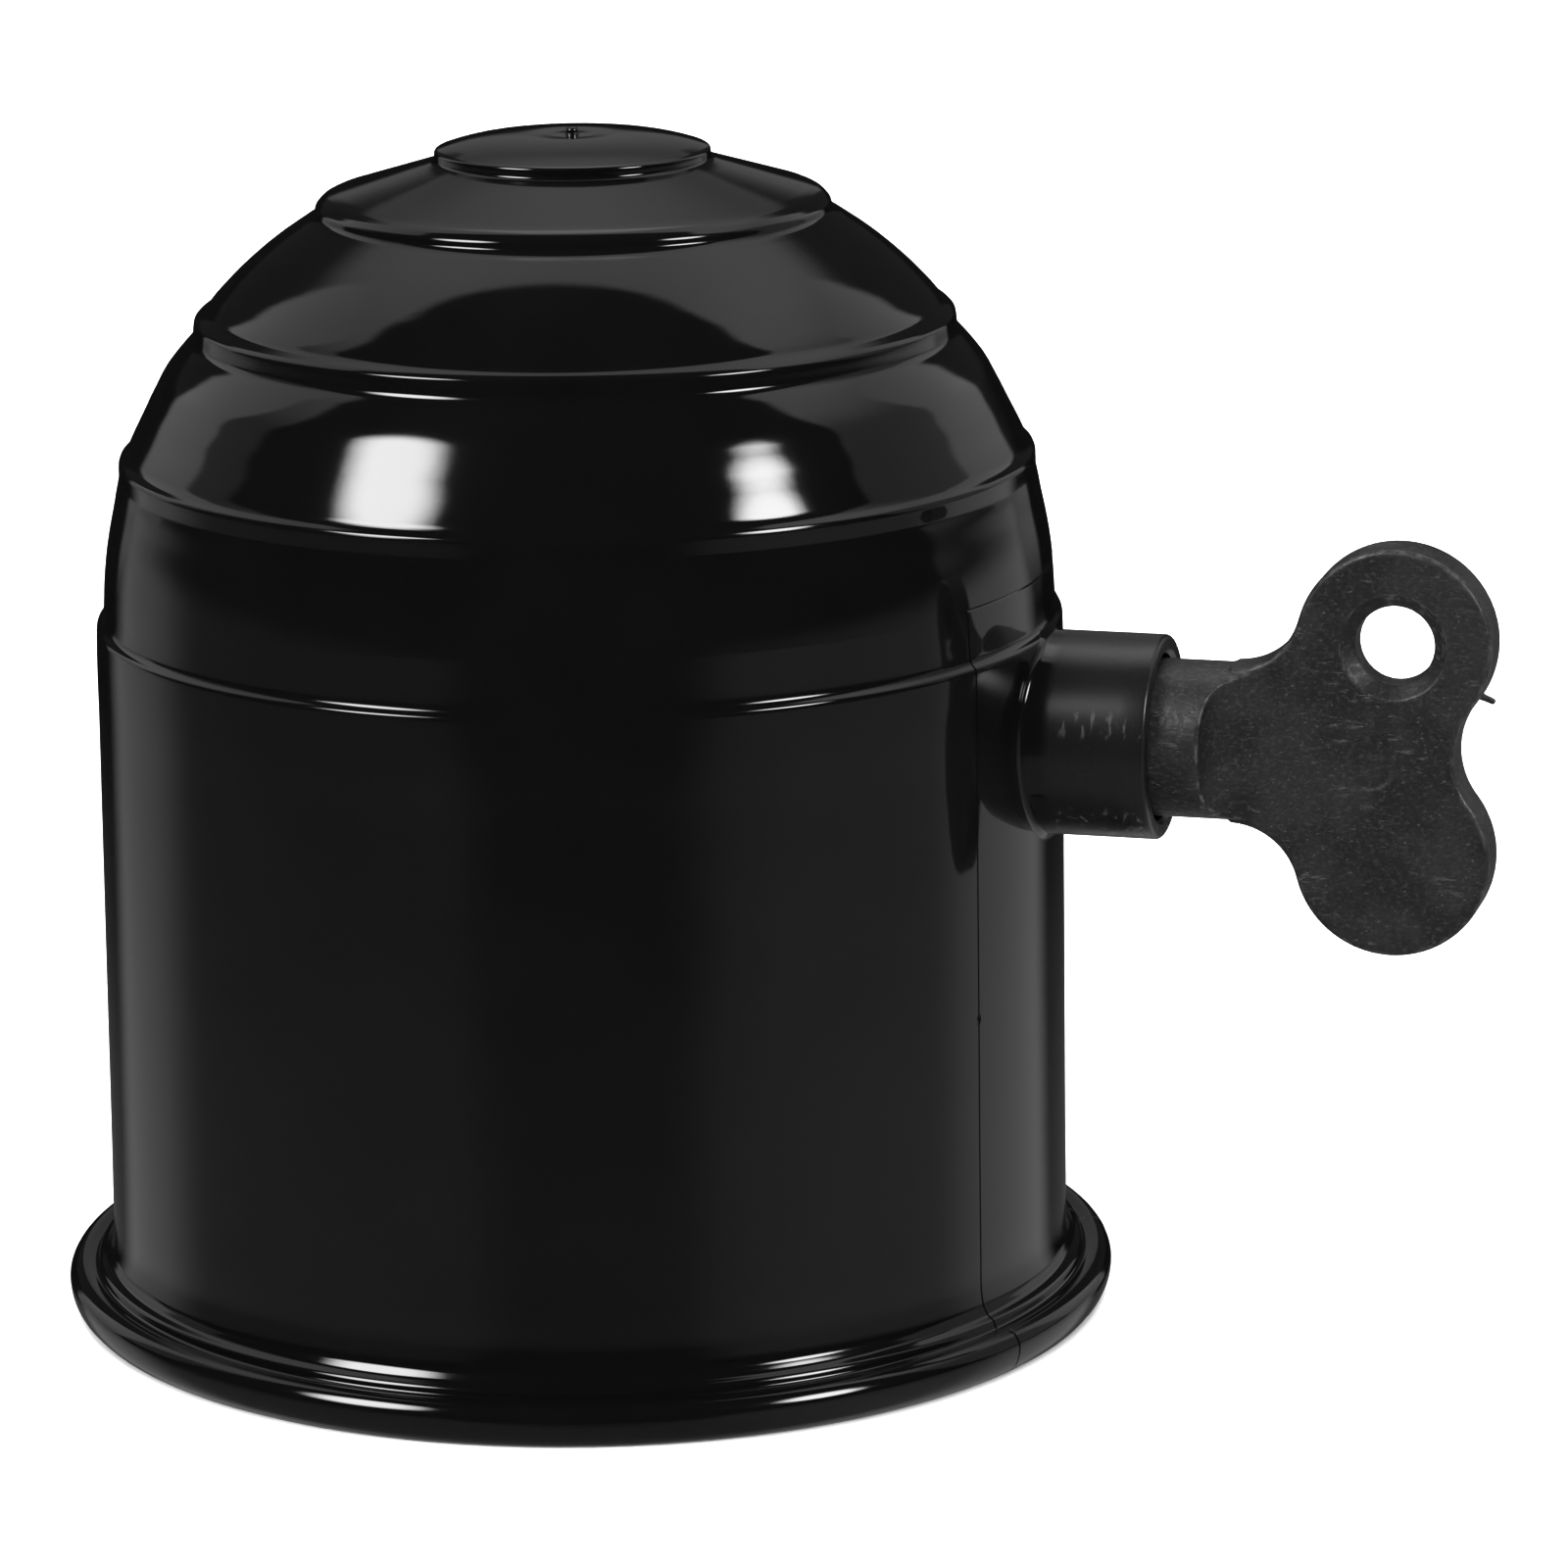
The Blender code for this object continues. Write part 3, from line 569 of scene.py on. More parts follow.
def key_inner_part():
    """The turned and threaded end of the key, inside the boss."""
    ease = 0.25 * MM
    end_x = 37.7 * MM
    profile = [(0.0, KEY_LOW.x), (JOURNAL_R - ease, KEY_LOW.x), (JOURNAL_R, KEY_LOW.x + ease)]
    profile += [(JOURNAL_R, CLIP_GROOVE_X[0]), (CLIP_GROOVE_R, CLIP_GROOVE_X[0])]
    profile += [(CLIP_GROOVE_R, CLIP_GROOVE_X[1]), (JOURNAL_R, CLIP_GROOVE_X[1]), (JOURNAL_R, SHOULDER_X)]
    profile += [(THREAD_ROOT_R - ease, SHOULDER_X), (THREAD_ROOT_R, SHOULDER_X + ease)]
    profile += [(THREAD_ROOT_R, COLLAR_X), (SHAFT_R - ease, COLLAR_X), (SHAFT_R, COLLAR_X + ease)]
    profile += [(SHAFT_R, SEAL_GROOVE_X[0]), (SEAL_GROOVE_R, SEAL_GROOVE_X[0])]
    profile += [(SEAL_GROOVE_R, SEAL_GROOVE_X[1]), (SHAFT_R - 0.01 * MM, SEAL_GROOVE_X[1])]
    profile += [(SHAFT_R - 0.01 * MM, end_x), (0.0, end_x)]
    body = mesh_object("key_inner", turned(profile, 96, along_key()))
    run_out = 1.3 * MM
    ridge = thread_block("ridge_block", 0.0, SHOULDER_X + run_out, COLLAR_X - run_out)
    solid = combined(body, [(ridge, "UNION")])
    bm = evaluated_bmesh(solid)
    remove(solid)
    return bm


def gate_nub():
    """The stub that the mould's gate leaves on the waist between the lobes."""
    length = 1.35 * MM
    profile = [(0.0, -0.5 * MM), (0.34 * MM, -0.5 * MM), (0.3 * MM, 0.0), (0.22 * MM, length * 0.5)]
    profile += [(0.2 * MM, length - 0.12 * MM), (0.12 * MM, length), (0.0, length)]
    base = Vector((HEAD_END_X - 1.3 * MM, 0.1 * MM, KEY_Z + 3.75 * MM))
    aim = Matrix.Rotation(math.radians(90.0 + 22.0), 4, "Y")
    return turned(profile, 20, Matrix.Translation(base) @ aim)


def joined(name, parts, sharp_angle=35.0):
    """One object from several bmeshes."""
    whole = bmesh.new()
    for part in parts:
        bmesh.ops.recalc_face_normals(part, faces=part.faces)
        mesh = bpy.data.meshes.new("part")
        part.to_mesh(mesh)
        part.free()
        whole.from_mesh(mesh)
        bpy.data.meshes.remove(mesh)
    return mesh_object(name, whole, sharp_angle)


def make_key():
    return joined("key", [key_outer_part(), key_inner_part(), gate_nub()], 50.0)


# ---------------------------------------------------------------- pieces inside


def sector(inner_r, outer_r, half_width, low_z, high_z, steps):
    """An upright block that follows the cap's wall, centred on the key's axis."""
    inner_angle = math.degrees(math.asin(half_width / inner_r))
    outer_angle = math.degrees(math.asin(half_width / outer_r))
    outline = arc((0.0, 0.0), inner_r, inner_angle, -inner_angle, steps)
    outline += arc((0.0, 0.0), outer_r, -outer_angle, outer_angle, steps)
    return prism(outline, high_z - low_z, Matrix.Translation((0.0, 0.0, low_z)))


def make_shoe():
    inner_r, outer_r = 26.65 * MM, 28.25 * MM
    bm = sector(inner_r, outer_r, SHOE_HIGH.y, SHOE_LOW.z, SHOE_HIGH.z, 20)
    ease_edges(bm, 0.25 * MM)
    shoe = mesh_object("shoe", bm)
    hub_r, hub_end, bore_r, pocket_r, pocket_x = 3.4 * MM, SHOE_HIGH.x, 2.1 * MM, 3.3 * MM, 27.75 * MM
    root, ease = outer_r - 0.4 * MM, 0.2 * MM
    hub = [(0.0, root), (hub_r, root), (hub_r, hub_end - ease), (hub_r - ease, hub_end), (0.0, hub_end)]
    cut = [(0.0, inner_r - 1.0 * MM), (pocket_r, inner_r - 1.0 * MM), (pocket_r, pocket_x)]
    cut += [(bore_r, pocket_x), (bore_r, hub_end + 1.0 * MM), (0.0, hub_end + 1.0 * MM)]
    return combined(shoe, [(mesh_object("hub_block", turned(hub, 72, along_key())), "UNION"),
                           (mesh_object("hub_cutter", turned(cut, 72, along_key())), "DIFFERENCE")])


def make_pad():
    """The rubber pad, with shallow upright grooves in the face that grips the ball."""
    inner_r, outer_r = BALL_R + 0.2 * MM, 26.4 * MM
    grooves, depth, rows, columns = 5, 0.35 * MM, 24, 72
    half_angle = math.asin(PAD_HIGH.y / inner_r)
    bm = bmesh.new()
    rings = []
    for column in range(columns + 1):
        share = column / columns
        turn = half_angle * (2.0 * share - 1.0)
        wave = math.cos(2.0 * math.pi * grooves * share + math.pi)
        dip = depth * smooth_step(0.45, 0.9, wave)
        edge = 0.25 * MM * smooth_step(0.9, 1.0, abs(2.0 * share - 1.0))
        ring = []
        for row in range(rows + 1):
            up = row / rows
            end = 0.3 * MM * smooth_step(0.9, 1.0, abs(2.0 * up - 1.0))
            radius = inner_r + max(dip, edge, end)
            height = PAD_LOW.z + (PAD_HIGH.z - PAD_LOW.z) * up
            ring.append(bm.verts.new((radius * math.cos(turn), radius * math.sin(turn), height)))
        for up in (1.0, 0.0):
            height = PAD_LOW.z + (PAD_HIGH.z - PAD_LOW.z) * up
            ring.append(bm.verts.new((outer_r * math.cos(turn), outer_r * math.sin(turn), height)))
        rings.append(ring)
    bridge_rings(bm, rings)
    bm.faces.new(rings[0])
    bm.faces.new(rings[-1])
    return mesh_object("pad", bm)


def make_clip():
    """A flat open ring."""
    inner_r, outer_r, opening = 1.35 * MM, 2.9 * MM, 40.0
    outline = arc((0.0, 0.0), outer_r, opening, 360.0 - opening, 72)
    outline += arc((0.0, 0.0), inner_r, 360.0 - opening, opening, 48)
    place = Matrix.Translation((CLIP_LOW.x, 0.0, KEY_Z)) @ Matrix.Rotation(math.radians(90.0), 4, "Y")
    bm = prism(outline, CLIP_HIGH.x - CLIP_LOW.x, place)
    ease_edges(bm, 0.07 * MM, 2)
    return mesh_object("clip", bm)


def make_seal():
    """A round rubber ring in the collar's groove."""
    ring_steps, section_steps = 128, 20
    middle = (SEAL_LOW.x + SEAL_HIGH.x) / 2.0
    section_r = (SEAL_HIGH.x - SEAL_LOW.x) / 2.0
    ring_r = (SEAL_HIGH.z - SEAL_LOW.z) / 2.0 - section_r
    bm = bmesh.new()
    rings = []
    for step in range(ring_steps):
        angle = 2.0 * math.pi * step / ring_steps
        section = arc((middle, ring_r), section_r, 0.0, 360.0, section_steps)[:-1]
        rings.append([bm.verts.new((x, radius * math.cos(angle), KEY_Z + radius * math.sin(angle)))
                      for x, radius in section])
    bridge_rings(bm, rings + rings[:1])
    return mesh_object("seal", bm)


# ---------------------------------------------------------------- materials


class Graph:
    """Short calls for making and linking the nodes of a tree."""

    def __init__(self, tree):
        self.tree = tree

    def new(self, kind, **settings):
        node = self.tree.nodes.new(kind)
        for setting, value in settings.items():
            setattr(node, setting, value)
        return node

    def link(self, output, node, socket):
        self.tree.links.new(output, node.inputs[socket])

    def ramp(self, source, low, high, at_low, at_high):
        """A smooth change from at_low, where the source is low, to at_high, where it is high."""
        node = self.new("ShaderNodeMapRange", interpolation_type="SMOOTHSTEP")
        node.inputs["From Min"].default_value = low
        node.inputs["From Max"].default_value = high
        node.inputs["To Min"].default_value = at_low
        node.inputs["To Max"].default_value = at_high
        self.link(source, node, "Value")
        return node.outputs["Result"]

    def maths(self, operation, first, second):
        node = self.new("ShaderNodeMath", operation=operation)
        for socket, value in ((0, first), (1, second)):
            if isinstance(value, (int, float)):
                node.inputs[socket].default_value = value
            else:
                self.link(value, node, socket)
        return node.outputs["Value"]

    def product(self, first, *others):
        for other in others:
            first = self.maths("MULTIPLY", first, other)
        return first

    def total(self, first, *others):
        for other in others:
            first = self.maths("ADD", first, other)
        return first


class Nodes(Graph):
    """A material with its shader, and noise, colour and bump to put on it."""

    def __init__(self, name):
        self.material = bpy.data.materials.new(name)
        self.material.use_nodes = True
        super().__init__(self.material.node_tree)
        self.shader = self.tree.nodes["Principled BSDF"]
        self.place = self.new("ShaderNodeTexCoord").outputs["Object"]

    def noise(self, scale, detail=3.0, roughness=0.5, stretch=None):
        place = self.place
        if stretch:
            mapping = self.new("ShaderNodeMapping")
            mapping.inputs["Scale"].default_value = stretch
            self.link(place, mapping, "Vector")
            place = mapping.outputs["Vector"]
        node = self.new("ShaderNodeTexNoise")
        node.inputs["Scale"].default_value = scale
        node.inputs["Detail"].default_value = detail
        node.inputs["Roughness"].default_value = roughness
        self.link(place, node, "Vector")
        return node.outputs["Fac"]

    def axis(self, name):
        """One of the frame's own coordinates, in metres."""
        split = self.new("ShaderNodeSeparateXYZ")
        self.link(self.place, split, "Vector")
        return split.outputs[name]

    def colour(self, factor, first, second):
        node = self.new("ShaderNodeMix", data_type="RGBA")
        node.inputs["A"].default_value = (*first, 1.0)
        node.inputs["B"].default_value = (*second, 1.0)
        self.link(factor, node, "Factor")
        self.link(node.outputs[2], self.shader, "Base Color")

    def bump(self, height, strength, distance, before=None):
        node = self.new("ShaderNodeBump")
        node.inputs["Strength"].default_value = strength
        node.inputs["Distance"].default_value = distance
        self.link(height, node, "Height")
        if before:
            self.link(before, node, "Normal")
        return node.outputs["Normal"]


def on_boss(nodes):
    """1 on the boss and 0 on the rest of the cap."""
    past_skirt = nodes.ramp(nodes.axis("X"), 31.4 * MM, 32.2 * MM, 0.0, 1.0)
    above_rim = nodes.ramp(nodes.axis("Z"), 28.0 * MM, 30.0 * MM, 0.0, 1.0)
    return nodes.product(past_skirt, above_rim)


def boss_scuffs(nodes, boss):
    """Fine scratches round the boss, in a band above its middle and along its underside."""
    height = nodes.axis("Z")
    band = nodes.ramp(height, KEY_Z + 1.0 * MM, KEY_Z + 1.6 * MM, 0.0, 1.0)
    underside = nodes.ramp(height, KEY_Z - 4.2 * MM, KEY_Z - 3.2 * MM, 1.0, 0.0)
    below_top = nodes.ramp(height, KEY_Z + 2.4 * MM, KEY_Z + 3.0 * MM, 1.0, 0.0)
    where = nodes.product(nodes.total(band, underside), below_top, boss)
    scratches = nodes.ramp(nodes.noise(2600.0, 3.0, 0.6, (1.0, 1.0, 0.12)), 0.56, 0.66, 0.0, 1.0)
    return nodes.product(scratches, where)


def gloss_plastic():
    """Glossy moulded black: faint flow waves, a fine orange peel, hair scratches, a duller boss."""
    nodes = Nodes("gloss_black_plastic")
    waves = nodes.noise(70.0, 2.0)
    peel = nodes.noise(900.0, 2.0)
    dust = nodes.noise(2600.0, 3.0, 0.7)
    hair = nodes.noise(420.0, 4.0, 0.7, (1.0, 1.0, 0.05))
    scratch = nodes.ramp(hair, 0.7, 0.76, 0.0, 1.0)
    normal = nodes.bump(waves, 0.05, 1.0 * MM)
    normal = nodes.bump(peel, 0.03, 0.06 * MM, normal)
    normal = nodes.bump(scratch, 0.06, 0.01 * MM, normal)
    nodes.link(normal, nodes.shader, "Normal")
    boss = on_boss(nodes)
    rough = nodes.ramp(waves, 0.3, 0.7, 0.055, 0.085)
    rough = nodes.total(rough, nodes.ramp(dust, 0.62, 0.8, 0.0, 0.06), nodes.product(boss, 0.2))
    nodes.link(rough, nodes.shader, "Roughness")
    mottle = nodes.product(nodes.noise(140.0), 0.03)
    tone = nodes.total(mottle, nodes.product(boss, 0.06), nodes.product(boss_scuffs(nodes, boss), 0.8))
    nodes.colour(tone, (0.0011, 0.0011, 0.0012), (0.028, 0.028, 0.029))
    nodes.shader.inputs["IOR"].default_value = 1.5
    return nodes.material


def wear_and_glints(nodes, pits):
    """1 where the satin plastic is rubbed light, at scuffs and the tops of its edges, and at its specks,
    which are painted glints.
    """
    scuff = nodes.ramp(nodes.noise(1500.0, 5.0, 0.75, (0.35, 1.0, 1.6)), 0.56, 0.68, 0.0, 1.0)
    scuff = nodes.product(scuff, nodes.ramp(nodes.noise(240.0, 2.0), 0.47, 0.6, 0.0, 1.0))
    # Painted glints: fine specks of painted highlight.
    glint_speck = nodes.ramp(nodes.noise(3600.0, 2.0, 0.5, (0.7, 1.0, 1.4)), 0.66, 0.74, 0.0, 1.0)
    edge = nodes.ramp(nodes.new("ShaderNodeNewGeometry").outputs["Pointiness"], 0.508, 0.53, 0.0, 1.0)
    edge = nodes.product(edge, nodes.ramp(pits, 0.44, 0.6, 0.0, 1.0))
    return scuff, nodes.maths("MAXIMUM", nodes.maths("MAXIMUM", scuff, glint_speck), edge)


def satin_plastic():
    """Matte moulded black: leather-like grain, soft sink marks, scuffs, rubbed spots, and painted highlights
    as light flecks and specks on the grain.
    """
    nodes = Nodes("satin_black_plastic")
    grain = nodes.noise(2600.0, 3.0, 0.6)
    pits = nodes.noise(1300.0, 3.0, 0.6, (1.0, 1.0, 0.7))
    sink = nodes.noise(170.0, 2.0)
    # The second mask holds the rubbed wear together with the painted glints of the specks.
    scuff, worn_and_glinting = wear_and_glints(nodes, pits)
    normal = nodes.bump(sink, 0.5, 0.35 * MM)
    normal = nodes.bump(pits, 0.45, 0.1 * MM, normal)
    normal = nodes.bump(grain, 0.4, 0.04 * MM, normal)
    normal = nodes.bump(scuff, 0.5, 0.04 * MM, normal)
    nodes.link(normal, nodes.shader, "Normal")
    rough = nodes.ramp(grain, 0.35, 0.65, 0.4, 0.54)
    rough = nodes.maths("SUBTRACT", rough, nodes.product(worn_and_glinting, 0.14))
    nodes.link(rough, nodes.shader, "Roughness")
    # Painted highlights: light flecks in the colour that stand in for the grain's bumps catching the light.
    grain_glint = nodes.ramp(nodes.noise(3400.0, 3.0, 0.65, (0.8, 1.0, 1.5)), 0.48, 0.72, 0.0, 0.4)
    cloud = nodes.ramp(nodes.noise(260.0, 2.0), 0.4, 0.65, 0.0, 0.14)
    tone = nodes.total(nodes.maths("MAXIMUM", worn_and_glinting, grain_glint), cloud)
    nodes.colour(tone, (0.0046, 0.0046, 0.0048), (0.026, 0.026, 0.027))
    nodes.shader.inputs["IOR"].default_value = 1.45
    return nodes.material


def rubber(name, tone):
    nodes = Nodes(name)
    grain = nodes.noise(1800.0, 4.0, 0.6)
    nodes.link(nodes.bump(grain, 0.35, 0.03 * MM), nodes.shader, "Normal")
    nodes.link(nodes.ramp(nodes.noise(300.0), 0.3, 0.7, 0.72, 0.88), nodes.shader, "Roughness")
    nodes.colour(grain, (tone * 0.8,) * 3, (tone * 1.3,) * 3)
    return nodes.material


def nylon():
    nodes = Nodes("grey_moulded_nylon")
    grain = nodes.noise(1400.0, 3.0)
    nodes.link(nodes.bump(grain, 0.2, 0.03 * MM), nodes.shader, "Normal")
    nodes.link(nodes.ramp(nodes.noise(260.0), 0.3, 0.7, 0.38, 0.52), nodes.shader, "Roughness")
    nodes.colour(nodes.noise(180.0), (0.08, 0.08, 0.085), (0.1, 0.1, 0.106))
    return nodes.material


def steel():
    nodes = Nodes("bright_spring_steel")
    grain = nodes.noise(2500.0, 3.0, 0.6, (1.0, 0.15, 1.0))
    nodes.link(nodes.bump(grain, 0.15, 0.01 * MM), nodes.shader, "Normal")
    nodes.link(nodes.ramp(grain, 0.3, 0.7, 0.24, 0.4), nodes.shader, "Roughness")
    nodes.colour(nodes.noise(500.0), (0.5, 0.5, 0.51), (0.6, 0.6, 0.61))
    nodes.shader.inputs["Metallic"].default_value = 1.0
    return nodes.material


def dress(piece, node, body, material):
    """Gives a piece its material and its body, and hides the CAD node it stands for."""
    piece.data.materials.clear()
    piece.data.materials.append(material)
    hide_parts(node)
    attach(piece, body)


# ---------------------------------------------------------------- camera, light and floor

# VIEWER_TURN is how far the viewer stands round towards the key; YAW, PITCH and ROLL aim the camera.
VIEWER_TURN = math.radians(16.75)
CAMERA_AWAY = 0.4363
CAMERA_UP = 0.14096
CAMERA_YAW = math.radians(1.694) - VIEWER_TURN
CAMERA_PITCH = math.radians(13.872)
CAMERA_ROLL = math.radians(-0.608)
CAMERA_LENS = 160.17


def make_camera():
    data = bpy.data.cameras.new("camera")
    data.sensor_width = 36.0
    data.lens = CAMERA_LENS
    data.clip_start = 0.01
    data.clip_end = 20.0
    camera = bpy.data.objects.new("camera", data)
    bpy.context.scene.collection.objects.link(camera)
    level_part = math.cos(CAMERA_PITCH)
    forward = Vector((math.sin(CAMERA_YAW) * level_part, math.cos(CAMERA_YAW) * level_part,
                      -math.sin(CAMERA_PITCH)))
    level = Vector((math.cos(CAMERA_YAW), -math.sin(CAMERA_YAW), 0.0))
    upright = level.cross(forward)
    right = math.cos(CAMERA_ROLL) * level + math.sin(CAMERA_ROLL) * upright
    up = -math.sin(CAMERA_ROLL) * level + math.cos(CAMERA_ROLL) * upright
    axes = Matrix((right, up, -forward)).transposed().to_4x4()
    spot = Vector((math.sin(VIEWER_TURN) * CAMERA_AWAY, -math.cos(VIEWER_TURN) * CAMERA_AWAY, CAMERA_UP))
    camera.matrix_world = Matrix.Translation(spot) @ axes
    bpy.context.scene.camera = camera


def area_light(name, azimuth, elevation, away, size, power):
    """A square light aimed at the cap and unseen in it. Azimuth 0 is the viewer's side and 90 the right."""
    data = bpy.data.lights.new(name, "AREA")
    data.shape = "SQUARE"
    data.size = size
    data.energy = power
    light = bpy.data.objects.new(name, data)
    bpy.context.scene.collection.objects.link(light)
    turn, rise = math.radians(azimuth) + VIEWER_TURN, math.radians(elevation)
    toward = Vector((math.sin(turn) * math.cos(rise), -math.cos(turn) * math.cos(rise), math.sin(rise)))
    middle = Vector((0.0, 0.0, TOP_Z * 0.6))
    light.location = middle + toward * away
    light.rotation_mode = "QUATERNION"
    light.rotation_quaternion = toward.to_track_quat("Z", "Y")
    light.visible_camera = False
    light.visible_glossy = False


# What the gloss reflects, by direction: right, back and up as the viewer sees them, -1 to 1.
# An edge is a pair: where a light starts to change and where the change ends.
ROOM_GLOW = 0.008
# Soft round lamps: direction (right, back, up), inner and outer radius in degrees, strength.
LAMPS = (((-0.665, -0.435, 0.607), 5.0, 14.5, 25.0), ((0.69, -0.51, 0.514), 4.0, 10.5, 28.0))

FRONT_SLOPE, FRONT_SKEW, FRONT_BOW = 1.02, 0.144, 0.85
FRONT_EDGE = (1.12, 1.165)

WALL_INNER_EDGE = (math.radians(32.0), math.radians(35.0))
WALL_INNER_LEAN = 0.3
WALL_OUTER_EDGE = (0.94, 1.01)
WALL_OUTER_LEAN = 0.4
WALL_RISE, WALL_LIGHT = (-0.05, 0.3), (0.34, 0.8)
WALL_FOOT_EDGE = (-0.2, -0.06)
WALL_TOP_EDGE = (0.84, 0.9)

GAP_EDGE = (math.radians(8.0), math.radians(11.0))
GAP_LEAN, GAP_LEAN_FROM = 1.1, 0.38
GAP_TOP_EDGE = (0.55, 0.7)
GAP_SHADE = 0.88

CEILING_RISE, CEILING_LIGHT = (0.45, 0.95), (0.2, 1.0)
CEILING_FOOT_EDGE = (-0.02, 0.12)
BAND_LIGHT = 0.9
BAND_LOW_EDGE, BAND_HIGH_EDGE = (0.74, 0.83), (0.92, 0.97)
BAND_SIDE_EDGE = (math.radians(15.0), math.radians(30.0))
RIGHT_EDGE, RIGHT_GAIN = (0.2, 0.7), 1.5

TABLE_TOP_EDGE = (0.04, -0.08)
TABLE_NEAR_EDGE, TABLE_NEAR_LIGHT = (-0.93, -0.8), 0.1
TABLE_RIGHT_EDGE, TABLE_RIGHT_LIGHT = (0.3, 0.8), 0.15
TABLE_BACK_EDGE, TABLE_BACK_LIGHT = (0.2, 0.55), 0.35
TABLE_BACK_END = (0.74, 0.86)
TABLE_LEAN, TABLE_END_LEAN = 0.25, 0.4
TABLE_LOW_EDGE, TABLE_LOW_LIGHT = (-0.22, -0.31), 0.1


def viewer_directions(graph):
    """A reflected ray's direction as right, back and up for the viewer."""
    turn = graph.new("ShaderNodeVectorRotate", rotation_type="Z_AXIS")
    turn.inputs["Angle"].default_value = -VIEWER_TURN
    graph.link(graph.new("ShaderNodeTexCoord").outputs["Generated"], turn, "Vector")
    split = graph.new("ShaderNodeSeparateXYZ")
    graph.link(turn.outputs["Vector"], split, "Vector")
    return tuple(split.outputs)


def lamp_light(graph, direction, lamp):
    """A disk of light that fades from full at the inner radius to nothing at the outer one."""
    centre, inner, outer, strength = lamp
    along = graph.total(*[graph.product(part, weight) for part, weight in zip(direction, centre)])
    return graph.ramp(along, math.cos(math.radians(outer)), math.cos(math.radians(inner)), 0.0, strength)


def behind_front_edge(graph, right, back, up):
    """1 behind the bowed front edge of the tent's roof and 0 in front of it."""
    front = graph.total(graph.product(back, FRONT_SLOPE), up, graph.product(right, FRONT_SKEW))
    front = graph.total(front, graph.product(graph.product(right, right), FRONT_BOW))
    return graph.ramp(front, *FRONT_EDGE, 0.0, 1.0)


def gap_shade(graph, azimuth, up, beside):
    """1 in the dark gap behind the cap, which narrows upward between the tent's two walls."""
    rise = graph.maths("MAXIMUM", graph.maths("SUBTRACT", up, GAP_LEAN_FROM), 0.0)
    across = graph.maths("SUBTRACT", azimuth, graph.product(rise, GAP_LEAN))
    gap = graph.ramp(across, *GAP_EDGE, 0.0, 1.0)
    return graph.product(gap, graph.ramp(up, *GAP_TOP_EDGE, 1.0, 0.0), graph.maths("SUBTRACT", 1.0, beside))


def ceiling_light(graph, right, up, azimuth, gap, behind):
    """The tent's roof, brighter in a band high up behind the cap and on the right."""
    band = graph.maths("SUBTRACT", graph.ramp(up, *BAND_LOW_EDGE, 0.0, BAND_LIGHT),
                       graph.ramp(up, *BAND_HIGH_EDGE, 0.0, BAND_LIGHT))
    band = graph.product(band, graph.ramp(azimuth, *BAND_SIDE_EDGE, 1.0, 0.0))
    roof = graph.total(graph.ramp(up, *CEILING_RISE, *CEILING_LIGHT), band)
    open_part = graph.maths("SUBTRACT", 1.0, graph.product(gap, GAP_SHADE))
    above_foot = graph.ramp(up, *CEILING_FOOT_EDGE, 0.0, 1.0)
    return graph.product(roof, open_part, above_foot, behind, graph.ramp(right, *RIGHT_EDGE, 1.0, RIGHT_GAIN))


def wall_light(graph, up, azimuth, beside, behind):
    """The tent's two side walls, the same on the left and the right."""
    outer = graph.maths("SUBTRACT", azimuth, graph.product(up, WALL_OUTER_LEAN))
    under_roof = graph.maths("MAXIMUM", behind, graph.ramp(up, *WALL_TOP_EDGE, 1.0, 0.0))
    return graph.product(beside, graph.ramp(outer, *WALL_OUTER_EDGE, 1.0, 0.0),
                         graph.ramp(up, *WALL_RISE, *WALL_LIGHT),
                         graph.ramp(up, *WALL_FOOT_EDGE, 0.0, 1.0), under_roof)


def tent_light(graph, right, back, up):
    azimuth = graph.maths("ARCTAN2", graph.maths("ABSOLUTE", right, 0.0), back)
    inner = graph.maths("SUBTRACT", azimuth, graph.product(up, WALL_INNER_LEAN))
    beside = graph.ramp(inner, *WALL_INNER_EDGE, 0.0, 1.0)
    behind = behind_front_edge(graph, right, back, up)
    gap = gap_shade(graph, azimuth, up, beside)
    ceiling = ceiling_light(graph, right, up, azimuth, gap, behind)
    return graph.maths("MAXIMUM", ceiling, wall_light(graph, up, azimuth, beside, behind))


def table_light(graph, right, back, up):
    """The table round the cap: lit in front, on the right and most of all behind."""
    lean = graph.product(graph.maths("MAXIMUM", right, 0.0), TABLE_LEAN)
    table = graph.total(graph.ramp(back, *TABLE_NEAR_EDGE, 0.0, TABLE_NEAR_LIGHT),
                        graph.ramp(right, *TABLE_RIGHT_EDGE, 0.0, TABLE_RIGHT_LIGHT),
                        graph.ramp(graph.total(back, lean), *TABLE_BACK_EDGE, 0.0, TABLE_BACK_LIGHT))
    end = graph.total(back, graph.product(lean, TABLE_END_LEAN))
    table = graph.product(table, graph.ramp(end, *TABLE_BACK_END, 1.0, 0.0))
    table = graph.total(table, graph.ramp(up, *TABLE_LOW_EDGE, 0.0, TABLE_LOW_LIGHT))
    return graph.product(table, graph.ramp(up, *TABLE_TOP_EDGE, 0.0, 1.0))


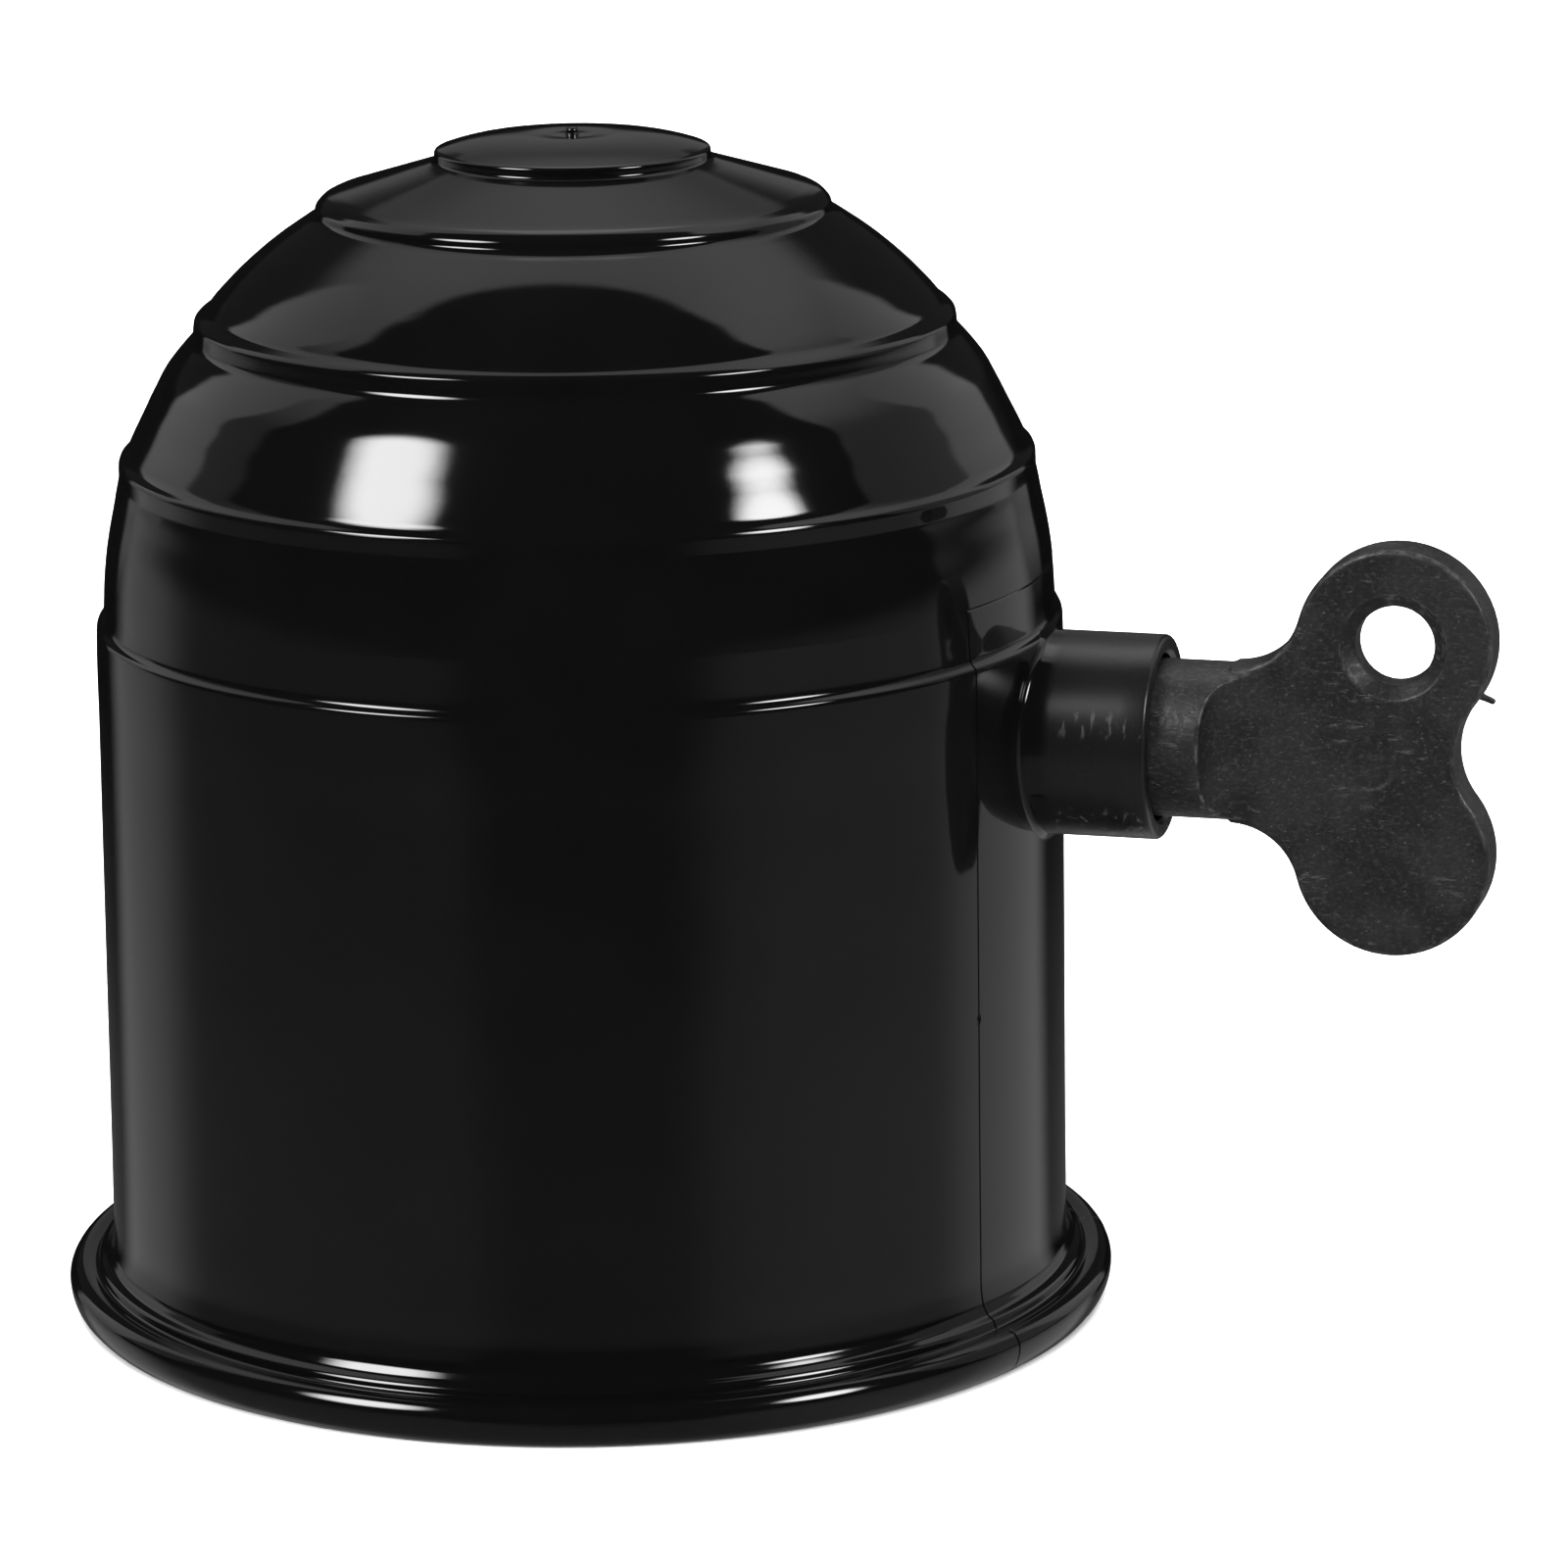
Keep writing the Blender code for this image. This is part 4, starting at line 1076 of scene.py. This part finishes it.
def make_world():
    """A dim room with a light tent over and behind the cap, seen only in reflections."""
    world = bpy.data.worlds.new("studio")
    bpy.context.scene.world = world
    world.use_nodes = True
    world.node_tree.nodes.clear()
    graph = Graph(world.node_tree)
    toward = viewer_directions(graph)
    light = graph.maths("MAXIMUM", tent_light(graph, *toward), table_light(graph, *toward))
    light = graph.total(light, ROOM_GLOW, *[lamp_light(graph, toward, lamp) for lamp in LAMPS])

    reflected = graph.new("ShaderNodeBackground")
    graph.link(light, reflected, "Strength")
    seen = graph.new("ShaderNodeBackground")
    seen.inputs["Strength"].default_value = 1.0
    mix = graph.new("ShaderNodeMixShader")
    graph.link(graph.new("ShaderNodeLightPath").outputs["Is Camera Ray"], mix, "Fac")
    graph.link(reflected.outputs["Background"], mix, 1)
    graph.link(seen.outputs["Background"], mix, 2)
    graph.link(mix.outputs["Shader"], graph.new("ShaderNodeOutputWorld"), "Surface")


def make_floor():
    half, below = 1.5, -0.05 * MM
    corners = ((-half, -half), (half, -half), (half, half), (-half, half))
    bm = bmesh.new()
    bm.faces.new([bm.verts.new((x, y, below)) for x, y in corners])
    floor = mesh_object("floor", bm)
    material = bpy.data.materials.new("pale_floor")
    material.use_nodes = True
    shader = material.node_tree.nodes["Principled BSDF"]
    shader.inputs["Base Color"].default_value = (0.9, 0.9, 0.9, 1.0)
    shader.inputs["Roughness"].default_value = 0.9
    shader.inputs["Specular IOR Level"].default_value = 0.0
    floor.data.materials.append(material)
    floor.visible_glossy = False


def make_lights():
    area_light("overhead", 180.0, 80.0, 1.4, 1.6, 62.0)
    area_light("front_fill", 0.0, 35.0, 1.6, 1.4, 30.0)


# ---------------------------------------------------------------- assembly


def main():
    make_camera()
    dress(make_cap(), "cap_shell", "cap", gloss_plastic())
    dress(make_key(), "clamp_key", "key", satin_plastic())
    dress(make_seal(), "key_seal", "key", rubber("black_seal_rubber", 0.02))
    dress(make_clip(), "shoe_clip", "key", steel())
    dress(make_shoe(), "clamp_shoe", "shoe", nylon())
    dress(make_pad(), "shoe_pad", "shoe", rubber("grooved_pad_rubber", 0.03))
    make_world()
    make_lights()
    make_floor()
    bpy.context.scene.view_settings.view_transform = "Standard"


main()
